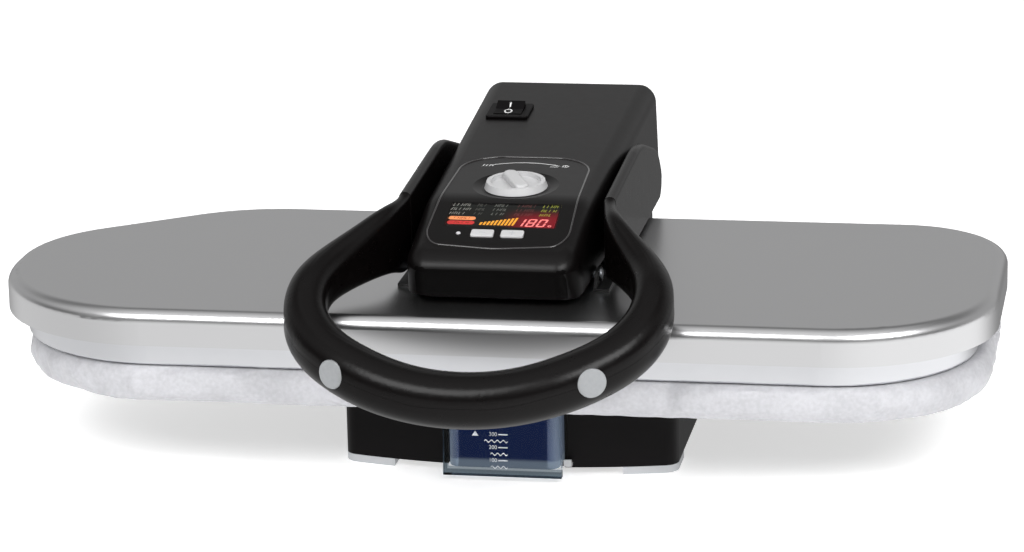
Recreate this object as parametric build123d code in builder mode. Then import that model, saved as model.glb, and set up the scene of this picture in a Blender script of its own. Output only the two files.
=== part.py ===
from build123d import *
import os
from math import atan2, cos, degrees, hypot, radians, sin, tan

os.makedirs("parts", exist_ok=True)

# Layout, in millimetres: X along the board, Y to the rear, Z up from the table
arm_x = 11.0
base_x = 16.0
overrun = 6.0
fit_gap = 0.2
body_gap = 0.35
running_gap = 0.05

# Outline of the pressing plate and the board, with a rounded nose at the left
plate_half_length = 324.0
plate_half_depth = 131.0
nose_side_y = 40.5
nose_rear_run = 121.0
nose_front_radius = 114.0
nose_end_radius = 88.0
nose_rear_radius = 111.0
rear_corner_radius = 72.0
front_corner_radius = 103.0

# Pressed steel cover of the pressing plate
cover_bottom = 91.0
cover_top = 114.0
cover_wall = 1.2
cover_edge_radius = 8.0

# Heated soleplate, a shallow cast tray
sole_bottom = 76.0
sole_thickness = 6.0
sole_rim_wall = 3.0
sole_end_inset = 13.0
sole_side_inset = 8.0
sole_edge_radius = 2.5
steam_hole_radius = 2.0
steam_hole_pitch_x = 60.0
steam_hole_pitch_y = 70.0
steam_hole_columns = 8
shield_thickness = 1.2
element_radius = 4.0
element_half_length = 230.0
element_half_depth = 70.0
chamber_length = 180.0
chamber_width = 60.0
chamber_height = 6.0
thermostat_radius = 9.0
thermostat_height = 6.5
thermostat_x = 130.0

# Ironing board: steel tray, foam and fabric cover
board_bottom = 50.0
board_top = 75.7
board_end_inset = 4.0
board_nose_inset = 9.0
board_side_inset = 4.5
board_lower_radius = 12.0
board_upper_radius = 8.0
fabric_wall = 2.0
hem_width = 34.0
tray_thickness = 1.5
tray_inset = 18.5

# Base
base_half_width = 108.0
base_front_y = -87.0
base_front_sag = 15.0
base_rear_y = 228.0
base_corner_radius = 10.0
base_wall = 2.5
foot_height = 5.0
foot_length = 34.0
foot_depth = 30.0
rear_foot_radius = 12.0
base_plate_thickness = 2.0
seat_rib_width = 12.0
seat_rib_length = 110.0
seat_rib_x = 80.0
base_screw_radius = 3.5
base_screw_x = 92.0
base_screw_front_y = -28.0
base_screw_rear_y = 210.0
base_screw_shank = 1.8
base_screw_head = 1.4
base_boss_radius = 5.0
rear_foot_x = 86.0
rear_foot_y = 180.0

# Water tank, which slides out at the front
tank_half_width = 35.5
tank_front_y = -97.0
tank_depth = 150.0
tank_lift = 0.35
tank_top = 43.0
tank_wall = 2.0
tank_radius = 7.0
tank_clearance = 2.0
tank_lid_thickness = 1.5
tank_mouth_depth = 48.0
tank_boss_radius = 4.5
window_half_width = 38.0
window_thickness = 3.5
window_bottom = 3.0
window_top = 46.5
window_lean = 6.0
valve_radius = 6.0
valve_length = 14.0
bay_wall = 2.0
clip_width = 5.0
clip_height = 4.5
clip_depth = 3.0

# Water parts in the base
seat_radius = 9.0
seat_length = 12.0
pump_x = 66.0
pump_y = 95.0
pump_radius = 14.0
pump_length = 52.0
pump_height = 28.0
clamp_thickness = 3.0
clamp_width = 16.0
hose_radius = 4.0
hose_bend_radius = 22.0
gland_x = -70.0
gland_radius = 9.0
gland_bore_radius = 3.8
gland_length = 18.0
gland_flange_radius = 12.5
gland_flange = 3.0
gland_collar = 1.0
gland_height = 26.0

# Rear hinge of the arm
hinge_y = 190.0
hinge_z = 82.0
shaft_radius = 6.0
knuckle_radius = 28.0
knuckle_half_width = 43.0
knuckle_wall = 2.5
upright_inner_x = 35.0
upright_thickness = 4.0
upright_head_radius = 15.0
upright_foot_depth = 60.0
chassis_thickness = 3.0
chassis_front_y = 72.0
lever_inner_x = 43.5
lever_thickness = 3.0
lever_head_radius = 20.0
bush_radius = 8.0
bush_flange_radius = 11.0
bush_flange = 1.5
spring_wire_radius = 1.0
spring_radius = 14.0
spring_turns = 2
spring_pitch = 2.1

# Arm housing
arm_front_y = -93.0
arm_rear_y = 233.0
arm_front_half = 56.5
arm_rear_half = 62.5
arm_front_corner = 16.0
arm_rear_corner = 14.0
arm_tier_z = 122.0
arm_skirt_z = 104.0
arm_skirt_y = 150.0
arm_draft = 2.0
arm_edge_radius = 12.0
arm_wall = 3.0
arm_kink_y = -29.4
arm_kink_z = 166.6
arm_front_slope = 15.0
arm_rear_slope = 4.0
arm_kink_radius = 80.0
lower_front_y = -84.0
lower_bottom = 115.2
lower_lip = 4.0
lower_wall = 2.0
lower_rear_y = 158.0
relief_start_y = -42.0
relief_slope = 2.2
ear_inner_x = 48.4
ear_outer_x = 56.8
ear_front_y = 140.0
lever_front_y = -60.0
lever_floor_gap = 0.4
lever_front_top = 140.0
lever_rear_top = 162.0
lever_rear_y = 165.0

# Control panel
panel_thickness = 2.0
panel_half_width = 46.0
panel_front_y = -82.0
panel_rear_y = 53.0
panel_rear_half = 42.0
panel_rear_radius = 28.0
panel_front_bow = 3.0
panel_corner_radius = 12.0
display_y = -51.0
display_width = 71.0
display_depth = 30.0
display_thickness = 1.5
display_lip = 0.2
card_width = 74.0
card_depth = 46.0
card_y = -58.0
card_thickness = 1.6
card_drop = 4.6
read_out_width = 62.0
read_out_depth = 22.0
button_y = -74.3
button_x = 9.6
button_width = 14.6
button_depth = 8.0
button_proud = 1.2
button_travel = 0.8
button_corner = 1.4
lamp_x = -25.0
lamp_radius = 1.5
knob_y = -4.0
dish_radius = 28.0
dish_floor_radius = 22.5
dish_depth = 1.4
knob_radius = 20.5
knob_skirt = 4.4
knob_rim = 2.6
knob_pocket_depth = 2.8
knob_turn = 25.0
knob_grip_width = 9.0
knob_grip_height = 6.4
knob_grip_flare = 3.0
knob_stem_radius = 3.0
knob_stem_length = 12.0
dial_body_size = 24.0
dial_body_height = 9.0
rocker_x = -31.0
rocker_y = 150.0
bezel_width = 29.0
bezel_depth = 30.0
bezel_height = 2.0
bezel_rim = 4.2
switch_depth = 16.0
rocker_width = 19.0
rocker_depth = 18.4
rocker_rise = 6.0
rocker_fall = 2.4
rocker_sink = 4.0
rocker_pin_radius = 1.25
rocker_pin_length = 1.6

# Pivot on which the pressing plate levels itself
pivot_y = -42.0
pivot_z = 121.0
pivot_radius = 2.4
pivot_head = 1.4
pivot_head_radius = 4.2
bracket_inner_gap = 0.8
bracket_thickness = 2.0
bracket_foot = 8.0
bracket_height = 11.0
bracket_length = 34.0

# Loop handle
cheek_inner = 62.6
cheek_thickness = 7.6
cheek_top_front = 171.0
cheek_top_rear = 177.0
cheek_peak_y = 82.0
cheek_shoulder_y = 158.0
cheek_shoulder_z = 154.0
cheek_rear_y = 192.0
cheek_bottom = 116.0
cheek_front_y = -38.0
cheek_front_bottom = 121.0
cheek_corner = 14.0
cheek_step = 0.2
cheek_bottom_y = 60.0
cheek_peak_radius = 120.0
cheek_shoulder_radius = 50.0
handle_pin_y = 150.0
handle_pin_z = 138.0
handle_pin_radius = 5.0
handle_pin_depth = 4.6
handle_pin_head = 8.0
handle_pin_head_length = 3.0
loop_half_width = 107.0
loop_reach = 170.5
loop_drop = 59.0
grip_radius = 17.0
section_corner_share = 0.9
# Along the loop: outward, forward, down, half thickness and half height
loop_shares = [
    (0.668, 0.13, 0.01, 0.31, 1.33),
    (0.79, 0.27, 0.06, 0.5, 1.1),
    (0.925, 0.405, 0.155, 0.66, 0.97),
    (1.0, 0.545, 0.25, 0.74, 0.93),
    (0.995, 0.69, 0.43, 0.8, 0.96),
    (0.87, 0.82, 0.635, 0.9, 0.98),
    (0.685, 0.905, 0.78, 0.965, 1.0),
    (0.36, 0.978, 0.94, 1.0, 1.0),
    (0.0, 1.0, 1.0, 1.0, 1.0),
]
# Height of the parting between the two shells, from where it starts to the front
parting_shares = (-1.08, -0.5, 0.0, 0.0, 0.0, 0.0, 0.0)
core_radius = 4.0
core_section = 6
parting_gap = 0.15
cap_section = 7
cap_radius = 9.1
cap_edge = 0.4
cap_thickness = 1.6
cap_seat = 3.0
handle_screw_radius = 3.0
handle_screw_shank = 1.8


def side_plane(x):
    """Plane at one X whose own axes are Y and Z of the press."""
    return Plane(origin=(x, 0, 0), x_dir=(0, 1, 0), z_dir=(1, 0, 0))


def rounded_shape(points, radii):
    """Face of a closed outline through corner points, each rounded by its radius."""
    with BuildSketch() as face:
        with BuildLine():
            FilletPolyline(*points, radius=radii, close=True)
        make_face()
    return face.sketch


def press_points(end_inset, side_inset, nose_inset):
    """Corners of the plate's outline, drawn in at the ends and sides and further at the nose."""
    left = -plate_half_length + end_inset + nose_inset
    right = plate_half_length - end_inset
    front = -plate_half_depth + side_inset
    rear = plate_half_depth - side_inset
    rise = plate_half_depth - nose_side_y
    run = nose_rear_run
    inset = (end_inset + side_inset) / 2
    start_x = -plate_half_length + nose_inset + inset * rise / hypot(rise, run)
    start_y = nose_side_y - inset * run / hypot(rise, run)
    side_y = start_y + (left - start_x) * rise / run
    rear_x = start_x + (rear - start_y) * run / rise
    return [(left, front), (left, side_y), (rear_x, rear), (right, rear), (right, front)]


def press_radii(inset):
    """Corner radii that go with the outline drawn in by inset."""
    outer = [nose_front_radius, nose_end_radius, nose_rear_radius, rear_corner_radius, front_corner_radius]
    return [radius - inset for radius in outer]


def press_outline(end_inset, side_inset, nose_inset=0.0):
    """Face of the plate's outline, for a sketch."""
    points = press_points(end_inset, side_inset, nose_inset)
    return rounded_shape(points, press_radii((end_inset + side_inset) / 2))


def press_slab(bottom, top, end_inset, side_inset, nose_inset=0.0, lower_radius=0.0, upper_radius=0.0):
    """Slab of the plate's outline with rounded lower and upper edges."""
    with BuildPart() as slab:
        with BuildSketch(Plane.XY.offset(bottom)):
            add(press_outline(end_inset, side_inset, nose_inset))
        extrude(amount=top - bottom)
        if upper_radius:
            fillet(slab.faces().sort_by(Axis.Z)[-1].edges(), radius=upper_radius)
        if lower_radius:
            fillet(slab.faces().sort_by(Axis.Z)[0].edges(), radius=lower_radius)
    return slab.part


def finish(piece, label):
    """Label a finished piece and write it out."""
    piece.label = label
    export_step(piece, f"parts/{label}.step")


# Pressing plate: the cover is one pressed shell, open below
with BuildPart() as platen_cover:
    add(press_slab(cover_bottom, cover_top, 0.0, 0.0, upper_radius=cover_edge_radius))
    add(
        press_slab(
            cover_bottom,
            cover_top - cover_wall,
            cover_wall,
            cover_wall,
            upper_radius=cover_edge_radius - cover_wall,
        ),
        mode=Mode.SUBTRACT,
    )
finish(platen_cover.part, "platen_cover")

# The insulating shield closes the cover and sits on the soleplate's rim
with BuildPart() as heat_shield:
    add(press_slab(cover_bottom, cover_bottom + shield_thickness, cover_wall + fit_gap, cover_wall + fit_gap))
finish(heat_shield.part, "heat_shield")

with BuildPart() as heating_plate:
    add(
        press_slab(
            sole_bottom,
            cover_bottom,
            sole_end_inset,
            sole_side_inset,
            lower_radius=sole_edge_radius,
        )
    )
    with BuildSketch(Plane.XY.offset(sole_bottom + sole_thickness)):
        add(press_outline(sole_end_inset + sole_rim_wall, sole_side_inset + sole_rim_wall))
    extrude(amount=cover_bottom - sole_bottom, mode=Mode.SUBTRACT)
    with BuildSketch(Plane.XY.offset(sole_bottom)):
        with GridLocations(steam_hole_pitch_x, steam_hole_pitch_y, steam_hole_columns, 2):
            Circle(steam_hole_radius)
    extrude(amount=sole_thickness, mode=Mode.SUBTRACT)
finish(heating_plate.part, "heating_plate")

# The element is a sheathed rod bent into a long U on the soleplate
element_z = sole_bottom + sole_thickness + element_radius
with BuildPart() as heating_element:
    with BuildLine(Plane.XY.offset(element_z)) as element_path:
        FilletPolyline(
            (element_half_length, element_half_depth),
            (-element_half_length, element_half_depth),
            (-element_half_length, -element_half_depth),
            (element_half_length, -element_half_depth),
            radius=element_half_depth - element_radius,
        )
    with BuildSketch(element_path.line ^ 0):
        Circle(element_radius)
    sweep()
finish(heating_element.part, "heating_element")

with BuildPart() as steam_chamber:
    with BuildSketch(Plane.XY.offset(sole_bottom + sole_thickness)):
        RectangleRounded(chamber_length, chamber_width, chamber_height)
    extrude(amount=chamber_height)
finish(steam_chamber.part, "steam_chamber")

with BuildPart() as thermostat:
    with BuildSketch(Plane.XY.offset(sole_bottom + sole_thickness)):
        with Locations((thermostat_x, 0)):
            Circle(thermostat_radius)
    extrude(amount=thermostat_height)
    with BuildSketch(Plane.XY.offset(sole_bottom + sole_thickness + thermostat_height)):
        with Locations((thermostat_x, 0)):
            Circle(thermostat_radius / 2)
    extrude(amount=thermostat_height / 4)
finish(thermostat.part, "thermostat")

# Ironing board
with BuildPart() as board_cover:
    add(
        press_slab(
            board_bottom,
            board_top,
            board_end_inset,
            board_side_inset,
            board_nose_inset,
            lower_radius=board_lower_radius,
            upper_radius=board_upper_radius,
        )
    )
    add(
        press_slab(
            board_bottom + fabric_wall,
            board_top - fabric_wall,
            board_end_inset + fabric_wall,
            board_side_inset + fabric_wall,
            board_nose_inset,
            lower_radius=board_lower_radius - fabric_wall,
            upper_radius=board_upper_radius - fabric_wall,
        ),
        mode=Mode.SUBTRACT,
    )
    with BuildSketch(Plane.XY.offset(board_bottom - overrun)):
        add(press_outline(board_end_inset + hem_width, board_side_inset + hem_width, board_nose_inset))
    extrude(amount=overrun + 2 * fabric_wall, mode=Mode.SUBTRACT)
finish(board_cover.part, "board_cover")

tray_bottom = board_bottom + fabric_wall
with BuildPart() as board_tray:
    add(press_slab(tray_bottom, tray_bottom + tray_thickness, tray_inset, tray_inset, board_nose_inset))
finish(board_tray.part, "board_tray")

with BuildPart() as board_foam:
    add(
        press_slab(
            tray_bottom,
            board_top - fabric_wall - fit_gap,
            board_end_inset + fabric_wall + fit_gap,
            board_side_inset + fabric_wall + fit_gap,
            board_nose_inset,
            lower_radius=board_lower_radius - fabric_wall,
            upper_radius=board_upper_radius - fabric_wall,
        )
    )
    add(board_tray.part, mode=Mode.SUBTRACT)
    with BuildSketch(Plane.XY.offset(tray_bottom - overrun)):
        add(press_outline(tray_inset, tray_inset, board_nose_inset))
    extrude(amount=overrun + tray_thickness, mode=Mode.SUBTRACT)
finish(board_foam.part, "board_foam")


def base_outline(inset):
    """Face of the base's plan, whose front is bowed."""
    half = base_half_width - inset
    corner_y = base_front_y + base_front_sag + inset
    with BuildSketch() as plan:
        with BuildLine():
            left = Line((base_x - half, corner_y), (base_x - half, base_rear_y - inset))
            rear = Line(left @ 1, (base_x + half, base_rear_y - inset))
            right = Line(rear @ 1, (base_x + half, corner_y))
            ThreePointArc(right @ 1, (base_x, base_front_y + inset), left @ 0)
        make_face()
        fillet(plan.vertices(), radius=base_corner_radius - inset)
    return plan.sketch


base_floor = foot_height + base_plate_thickness
screw_places = [
    (base_x + side * base_screw_x, place) for side in (-1, 1) for place in (base_screw_front_y, base_screw_rear_y)
]
bay_rear = tank_front_y + tank_depth + tank_clearance
valve_z = base_floor + tank_lift + tank_wall + valve_radius + tank_wall

# Base shell: one moulding with a bay for the tank and a way through for the hinge uprights
bay_top = tank_top + tank_lid_thickness + tank_clearance
with BuildPart() as base_shell:
    with BuildSketch(Plane.XY.offset(foot_height)):
        add(base_outline(0.0))
    extrude(amount=board_bottom - foot_height)
    with BuildSketch(Plane.XY.offset(foot_height)):
        add(base_outline(base_wall))
    extrude(amount=board_bottom - foot_height - base_wall, mode=Mode.SUBTRACT)
    with BuildSketch(Plane.XY.offset(base_floor)):
        with Locations(*screw_places):
            Circle(base_boss_radius)
        with Locations((base_x, (base_front_y + bay_rear) / 2)):
            Rectangle(2 * (tank_half_width + tank_clearance + bay_wall), bay_rear - base_front_y - base_wall)
        with Locations((base_x, bay_rear)):
            Rectangle(2 * (tank_half_width + tank_clearance + bay_wall), 2 * bay_wall)
    extrude(amount=board_bottom - base_floor - base_wall / 2)
    with BuildSketch(Plane.XY.offset(foot_height - overrun)):
        with Locations((base_x, (tank_front_y + bay_rear - overrun) / 2)):
            Rectangle(2 * (tank_half_width + tank_clearance), bay_rear - tank_front_y + overrun)
    extrude(amount=bay_top - foot_height + overrun, mode=Mode.SUBTRACT)
    with BuildSketch(Plane.XY.offset(foot_height)):
        with Locations((arm_x, hinge_y)):
            Rectangle(2 * (upright_inner_x + upright_thickness + fit_gap), 2 * (knuckle_radius - knuckle_wall))
    extrude(amount=board_bottom, mode=Mode.SUBTRACT)
    with BuildSketch(Plane.XY.offset(board_bottom)):
        with Locations((base_x - seat_rib_x, 0), (base_x + seat_rib_x, 0)):
            RectangleRounded(seat_rib_width, seat_rib_length, seat_rib_width / 3)
    extrude(amount=fabric_wall)
    with BuildSketch(Plane.XY.offset(base_floor)):
        with Locations(*screw_places):
            Circle(base_screw_shank)
    extrude(amount=board_bottom / 3, mode=Mode.SUBTRACT)
    with BuildSketch(Plane.XZ.offset(-bay_rear + overrun)):
        with Locations((base_x, valve_z)):
            Circle(valve_radius + fit_gap)
    extrude(amount=-3 * overrun, mode=Mode.SUBTRACT)
    with BuildSketch(Plane.XZ.offset(-base_rear_y + overrun)):
        with Locations((base_x + gland_x, gland_height)):
            Circle(gland_radius)
    extrude(amount=-2 * overrun, mode=Mode.SUBTRACT)
finish(base_shell.part, "base_shell")

with BuildPart() as base_plate:
    with BuildSketch(Plane.XY.offset(foot_height)):
        add(base_outline(base_wall + fit_gap))
        with Locations(*screw_places):
            Circle(base_screw_shank, mode=Mode.SUBTRACT)
    extrude(amount=base_plate_thickness)
finish(base_plate.part, "base_plate")

with BuildPart() as base_screws:
    with BuildSketch(Plane.XY.offset(foot_height - base_screw_head)):
        with Locations(*screw_places):
            Circle(base_screw_radius)
    extrude(amount=base_screw_head)
    with BuildSketch(Plane.XY.offset(foot_height)):
        with Locations(*screw_places):
            Circle(base_screw_shank)
    extrude(amount=board_bottom / 3)
finish(base_screws.part, "base_screws")

# Front feet follow the base's corners, rear feet are round
with BuildPart() as front_feet:
    with BuildSketch():
        with Locations(
            (base_x - base_half_width, base_front_y + base_front_sag),
            (base_x + base_half_width, base_front_y + base_front_sag),
        ):
            Rectangle(2 * foot_length, 2 * foot_depth)
        add(base_outline(0.0), mode=Mode.INTERSECT)
    extrude(amount=foot_height)
finish(front_feet.part, "front_feet")

with BuildPart() as rear_feet:
    with BuildSketch():
        with Locations((base_x - rear_foot_x, rear_foot_y), (base_x + rear_foot_x, rear_foot_y)):
            Circle(rear_foot_radius)
    extrude(amount=foot_height)
    chamfer(rear_feet.faces().sort_by(Axis.Z)[0].edges(), length=foot_height / 4)
finish(rear_feet.part, "rear_feet")

# Steel chassis: a floor plate with two hinge uprights
chassis_half = upright_inner_x + upright_thickness
with BuildPart() as chassis:
    with BuildSketch(Plane.XY.offset(base_floor)):
        with Locations((arm_x, (chassis_front_y + base_screw_rear_y) / 2)):
            Rectangle(2 * chassis_half, base_screw_rear_y - chassis_front_y)
    extrude(amount=chassis_thickness)
    for side in (-1, 1):
        with BuildSketch(side_plane(arm_x + side * upright_inner_x)):
            with BuildLine():
                Polyline(
                    (hinge_y - upright_foot_depth / 2, base_floor),
                    (hinge_y + upright_foot_depth / 2, base_floor),
                    (hinge_y + upright_head_radius, hinge_z),
                    (hinge_y - upright_head_radius, hinge_z),
                    close=True,
                )
            make_face()
            with Locations((hinge_y, hinge_z)):
                Circle(upright_head_radius)
                Circle(shaft_radius, mode=Mode.SUBTRACT)
        extrude(amount=side * upright_thickness)
finish(chassis.part, "chassis")


def knuckle_profile(inset):
    """Side outline of the rear column, round over the hinge."""
    with BuildSketch() as profile:
        with Locations((hinge_y, hinge_z)):
            Circle(knuckle_radius - inset)
        with Locations((hinge_y, (hinge_z + board_bottom) / 2)):
            Rectangle(2 * (knuckle_radius - inset), hinge_z - board_bottom)
    return profile.sketch


with BuildPart() as column_cover:
    with BuildSketch(side_plane(arm_x - knuckle_half_width)):
        add(knuckle_profile(0.0))
    extrude(amount=2 * knuckle_half_width)
    with BuildSketch(side_plane(arm_x - knuckle_half_width + knuckle_wall)):
        add(knuckle_profile(knuckle_wall))
    extrude(amount=2 * (knuckle_half_width - knuckle_wall), mode=Mode.SUBTRACT)
    with BuildSketch(side_plane(arm_x - knuckle_half_width - overrun)):
        with Locations((hinge_y, hinge_z)):
            Circle(shaft_radius + fit_gap)
    extrude(amount=2 * (knuckle_half_width + overrun), mode=Mode.SUBTRACT)
finish(column_cover.part, "column_cover")

shaft_half_length = ear_outer_x - lower_wall - body_gap
with BuildPart() as hinge_shaft:
    with BuildSketch(side_plane(arm_x - shaft_half_length)):
        with Locations((hinge_y, hinge_z)):
            Circle(shaft_radius)
    extrude(amount=2 * shaft_half_length)
    chamfer(hinge_shaft.edges().filter_by(GeomType.CIRCLE), length=shaft_radius / 8)
finish(hinge_shaft.part, "hinge_shaft")

# Water tank: open at the rear of its top, with a clear front panel
tank_bottom = base_floor + tank_lift


def tank_plan(inset):
    """Plan of the tank with rounded corners."""
    with BuildSketch() as plan:
        with Locations((base_x, tank_front_y + tank_depth / 2)):
            RectangleRounded(2 * (tank_half_width - inset), tank_depth - 2 * inset, tank_radius - inset)
    return plan.sketch


with BuildPart() as tank_body:
    with BuildSketch(Plane.XY.offset(tank_bottom)):
        add(tank_plan(0.0))
    extrude(amount=tank_top - tank_bottom)
    with BuildSketch(Plane.XY.offset(tank_bottom + tank_wall)):
        add(tank_plan(tank_wall))
    extrude(amount=tank_top, mode=Mode.SUBTRACT)
    with BuildSketch(Plane.XY.offset(tank_bottom + tank_wall)):
        with Locations(
            (base_x - tank_half_width + tank_radius, tank_front_y + tank_radius),
            (base_x + tank_half_width - tank_radius, tank_front_y + tank_radius),
        ):
            Circle(tank_boss_radius)
    extrude(amount=2 * tank_boss_radius)
    with BuildSketch(Plane.XZ.offset(-tank_front_y - tank_depth + tank_wall + overrun / 2)):
        with Locations((base_x, valve_z)):
            Circle(valve_radius)
    extrude(amount=-overrun, mode=Mode.SUBTRACT)
finish(tank_body.part, "tank_body")

with BuildPart() as tank_lid:
    with BuildSketch(Plane.XY.offset(tank_top)):
        add(tank_plan(0.0))
        with Locations((base_x, tank_front_y + tank_depth - tank_mouth_depth / 2)):
            Rectangle(4 * tank_half_width, tank_mouth_depth, mode=Mode.SUBTRACT)
    extrude(amount=tank_lid_thickness)
finish(tank_lid.part, "tank_lid")

lean_run = (window_top - window_bottom) * tan(radians(window_lean))
with BuildPart() as tank_window:
    with BuildSketch(side_plane(base_x - window_half_width)):
        with BuildLine():
            Polyline(
                (tank_front_y, window_bottom),
                (tank_front_y, window_top),
                (tank_front_y - window_thickness / 2, window_top),
                (tank_front_y - window_thickness / 2 - lean_run, window_bottom),
                close=True,
            )
        make_face()
    extrude(amount=2 * window_half_width)
    fillet(tank_window.faces().sort_by(Axis.Y)[0].edges().filter_by(Axis.X), radius=window_thickness / 4)
finish(tank_window.part, "tank_window")

with BuildPart() as tank_valve:
    with BuildSketch(Plane.XZ.offset(-tank_front_y - tank_depth + valve_length / 2)):
        with Locations((base_x, valve_z)):
            Circle(valve_radius)
    extrude(amount=-valve_length)
    chamfer(tank_valve.faces().sort_by(Axis.Y)[-1].edges(), length=valve_radius / 4)
finish(tank_valve.part, "tank_valve")

clip_x = base_x + tank_half_width + tank_clearance + clip_width / 2
with BuildPart() as tank_clip:
    with BuildSketch(side_plane(clip_x - clip_width / 2)):
        with BuildLine():
            Polyline(
                (base_front_y + base_wall, base_floor),
                (base_front_y - clip_depth, base_floor),
                (base_front_y - clip_depth, base_floor + clip_height),
                (base_front_y - clip_depth / 2, base_floor + clip_height),
                (base_front_y - clip_depth / 2, base_floor + clip_height / 3),
                (base_front_y + base_wall, base_floor + clip_height / 3),
                close=True,
            )
        make_face()
    extrude(amount=clip_width)
    add(base_shell.part, mode=Mode.SUBTRACT)
finish(tank_clip.part, "tank_clip")

# Valve seat, pump and hose
seat_front = bay_rear + bay_wall
seat_rear = seat_front + seat_length
with BuildPart() as valve_seat:
    with BuildSketch(Plane.XZ.offset(-seat_front)):
        with Locations((base_x, valve_z)):
            Circle(seat_radius)
    extrude(amount=-seat_length)
    with BuildSketch(Plane.XZ.offset(-seat_front)):
        with Locations((base_x, valve_z)):
            Circle(valve_radius + fit_gap)
    extrude(amount=-seat_length * 2 / 3, mode=Mode.SUBTRACT)
finish(valve_seat.part, "valve_seat")

pump_centre_x = base_x + pump_x
pump_rear = pump_y + pump_length / 2
with BuildPart() as water_pump:
    with BuildSketch(Plane.XZ.offset(-pump_rear)):
        with Locations((pump_centre_x, pump_height)):
            Circle(pump_radius)
    extrude(amount=pump_length)
    fillet(water_pump.edges().filter_by(GeomType.CIRCLE), radius=pump_radius / 7)
    with BuildSketch(Plane.XZ.offset(-pump_rear)):
        with Locations((pump_centre_x, pump_height)):
            Circle(hose_radius)
    extrude(amount=-hose_radius)
finish(water_pump.part, "water_pump")

with BuildPart() as pump_clamp:
    with BuildSketch(Plane.XZ.offset(-pump_y - clamp_width / 2)):
        with Locations((pump_centre_x, (base_floor + pump_height) / 2)):
            Rectangle(2 * pump_radius + 2 * clamp_thickness, pump_height - base_floor)
        with Locations((pump_centre_x, pump_height)):
            Circle(pump_radius, mode=Mode.SUBTRACT)
    extrude(amount=clamp_width)
finish(pump_clamp.part, "pump_clamp")

hose_turn_y = pump_rear + hose_radius + hose_bend_radius + running_gap
with BuildPart() as water_hose:
    with BuildLine() as hose_path:
        FilletPolyline(
            (base_x, seat_rear, valve_z),
            (base_x, hose_turn_y, valve_z),
            (pump_centre_x, hose_turn_y, pump_height),
            (pump_centre_x, pump_rear + hose_radius, pump_height),
            radius=hose_bend_radius * 0.9,
        )
    with BuildSketch(hose_path.line ^ 0):
        Circle(hose_radius)
    sweep()
finish(water_hose.part, "water_hose")

with BuildPart() as cord_gland:
    with BuildSketch(Plane.XZ.offset(-base_rear_y - gland_flange - gland_collar)):
        with Locations((base_x + gland_x, gland_height)):
            Circle(gland_radius)
    extrude(amount=gland_length)
    with BuildSketch(Plane.XZ.offset(-base_rear_y - gland_flange)):
        with Locations((base_x + gland_x, gland_height)):
            Circle(gland_flange_radius)
    extrude(amount=gland_flange)
    with BuildSketch(Plane.XZ.offset(-base_rear_y - overrun * 2)):
        with Locations((base_x + gland_x, gland_height)):
            Circle(gland_bore_radius)
    extrude(amount=gland_length * 2, mode=Mode.SUBTRACT)
finish(cord_gland.part, "cord_gland")

# Arm housing: one block in plan and side view, from which both covers are made
front_drop = tan(radians(arm_front_slope))
rear_rise = tan(radians(arm_rear_slope))
arm_length = arm_rear_y - arm_front_y
arm_flare = (arm_rear_half - arm_front_half) / arm_length


def arm_half_at(y):
    """Half width of the arm's plan at one place along it."""
    return arm_front_half + arm_flare * (y - arm_front_y)


def arm_plan(inset):
    """Plan of the arm, drawn in by inset."""
    front_half = arm_front_half - inset
    rear_half = arm_rear_half - inset
    front = arm_front_y + inset
    rear = arm_rear_y - inset
    corners = [
        (arm_x - front_half, front),
        (arm_x + front_half, front),
        (arm_x + rear_half, rear),
        (arm_x - rear_half, rear),
    ]
    front_radius = arm_front_corner - inset
    rear_radius = arm_rear_corner - inset
    return rounded_shape(corners, [front_radius, front_radius, rear_radius, rear_radius])


def top_z(y):
    """Height of the arm's top on its centre line."""
    if y < arm_kink_y:
        return arm_kink_z + (y - arm_kink_y) * front_drop
    return arm_kink_z + (y - arm_kink_y) * rear_rise


def arm_profile(inset):
    """Side view of everything under the arm's top, lowered by inset."""
    with BuildSketch() as profile:
        with BuildLine():
            FilletPolyline(
                (arm_front_y - overrun, arm_skirt_z - overrun),
                (arm_front_y - overrun, top_z(arm_front_y - overrun) - inset),
                (arm_kink_y, arm_kink_z - inset),
                (arm_rear_y + overrun, top_z(arm_rear_y + overrun) - inset),
                (arm_rear_y + overrun, arm_skirt_z - overrun),
                radius=[0, 0, arm_kink_radius, 0, 0],
                close=True,
            )
        make_face()
    return profile.sketch


def arm_block(inset, bottom):
    """The arm's outer form, or its inner form when drawn in by a wall."""
    height = top_z(arm_rear_y) + overrun - bottom
    with BuildPart() as block:
        with BuildSketch(Plane.XY.offset(bottom)):
            add(arm_plan(inset))
        extrude(amount=height, taper=arm_draft)
        with BuildSketch(side_plane(arm_x - arm_rear_half - overrun)):
            add(arm_profile(inset))
        extrude(amount=2 * (arm_rear_half + overrun), mode=Mode.INTERSECT)
        middle = (arm_front_y + arm_edge_radius * 2, arm_rear_y - arm_edge_radius * 2)
        rim = [
            edge
            for edge in block.edges()
            if edge.bounding_box().min.Z > arm_tier_z + overrun
            and not (edge.bounding_box().size.Y < fit_gap and middle[0] < edge.center().Y < middle[1])
        ]
        fillet(rim, radius=arm_edge_radius - inset)
    return block.part


arm_outer = arm_block(0.0, arm_skirt_z)


def panel_outline(margin):
    """Plan of the control panel, larger by a margin."""
    half = panel_half_width + margin
    rear_half = panel_rear_half + margin
    corners = [
        (arm_x - half, panel_front_y + panel_front_bow - margin),
        (arm_x, panel_front_y - margin),
        (arm_x + half, panel_front_y + panel_front_bow - margin),
        (arm_x + rear_half, panel_rear_y + margin),
        (arm_x - rear_half, panel_rear_y + margin),
    ]
    front = panel_corner_radius + margin
    rear = panel_rear_radius + margin
    return rounded_shape(corners, [front, panel_half_width * 2, front, rear, rear])


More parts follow.
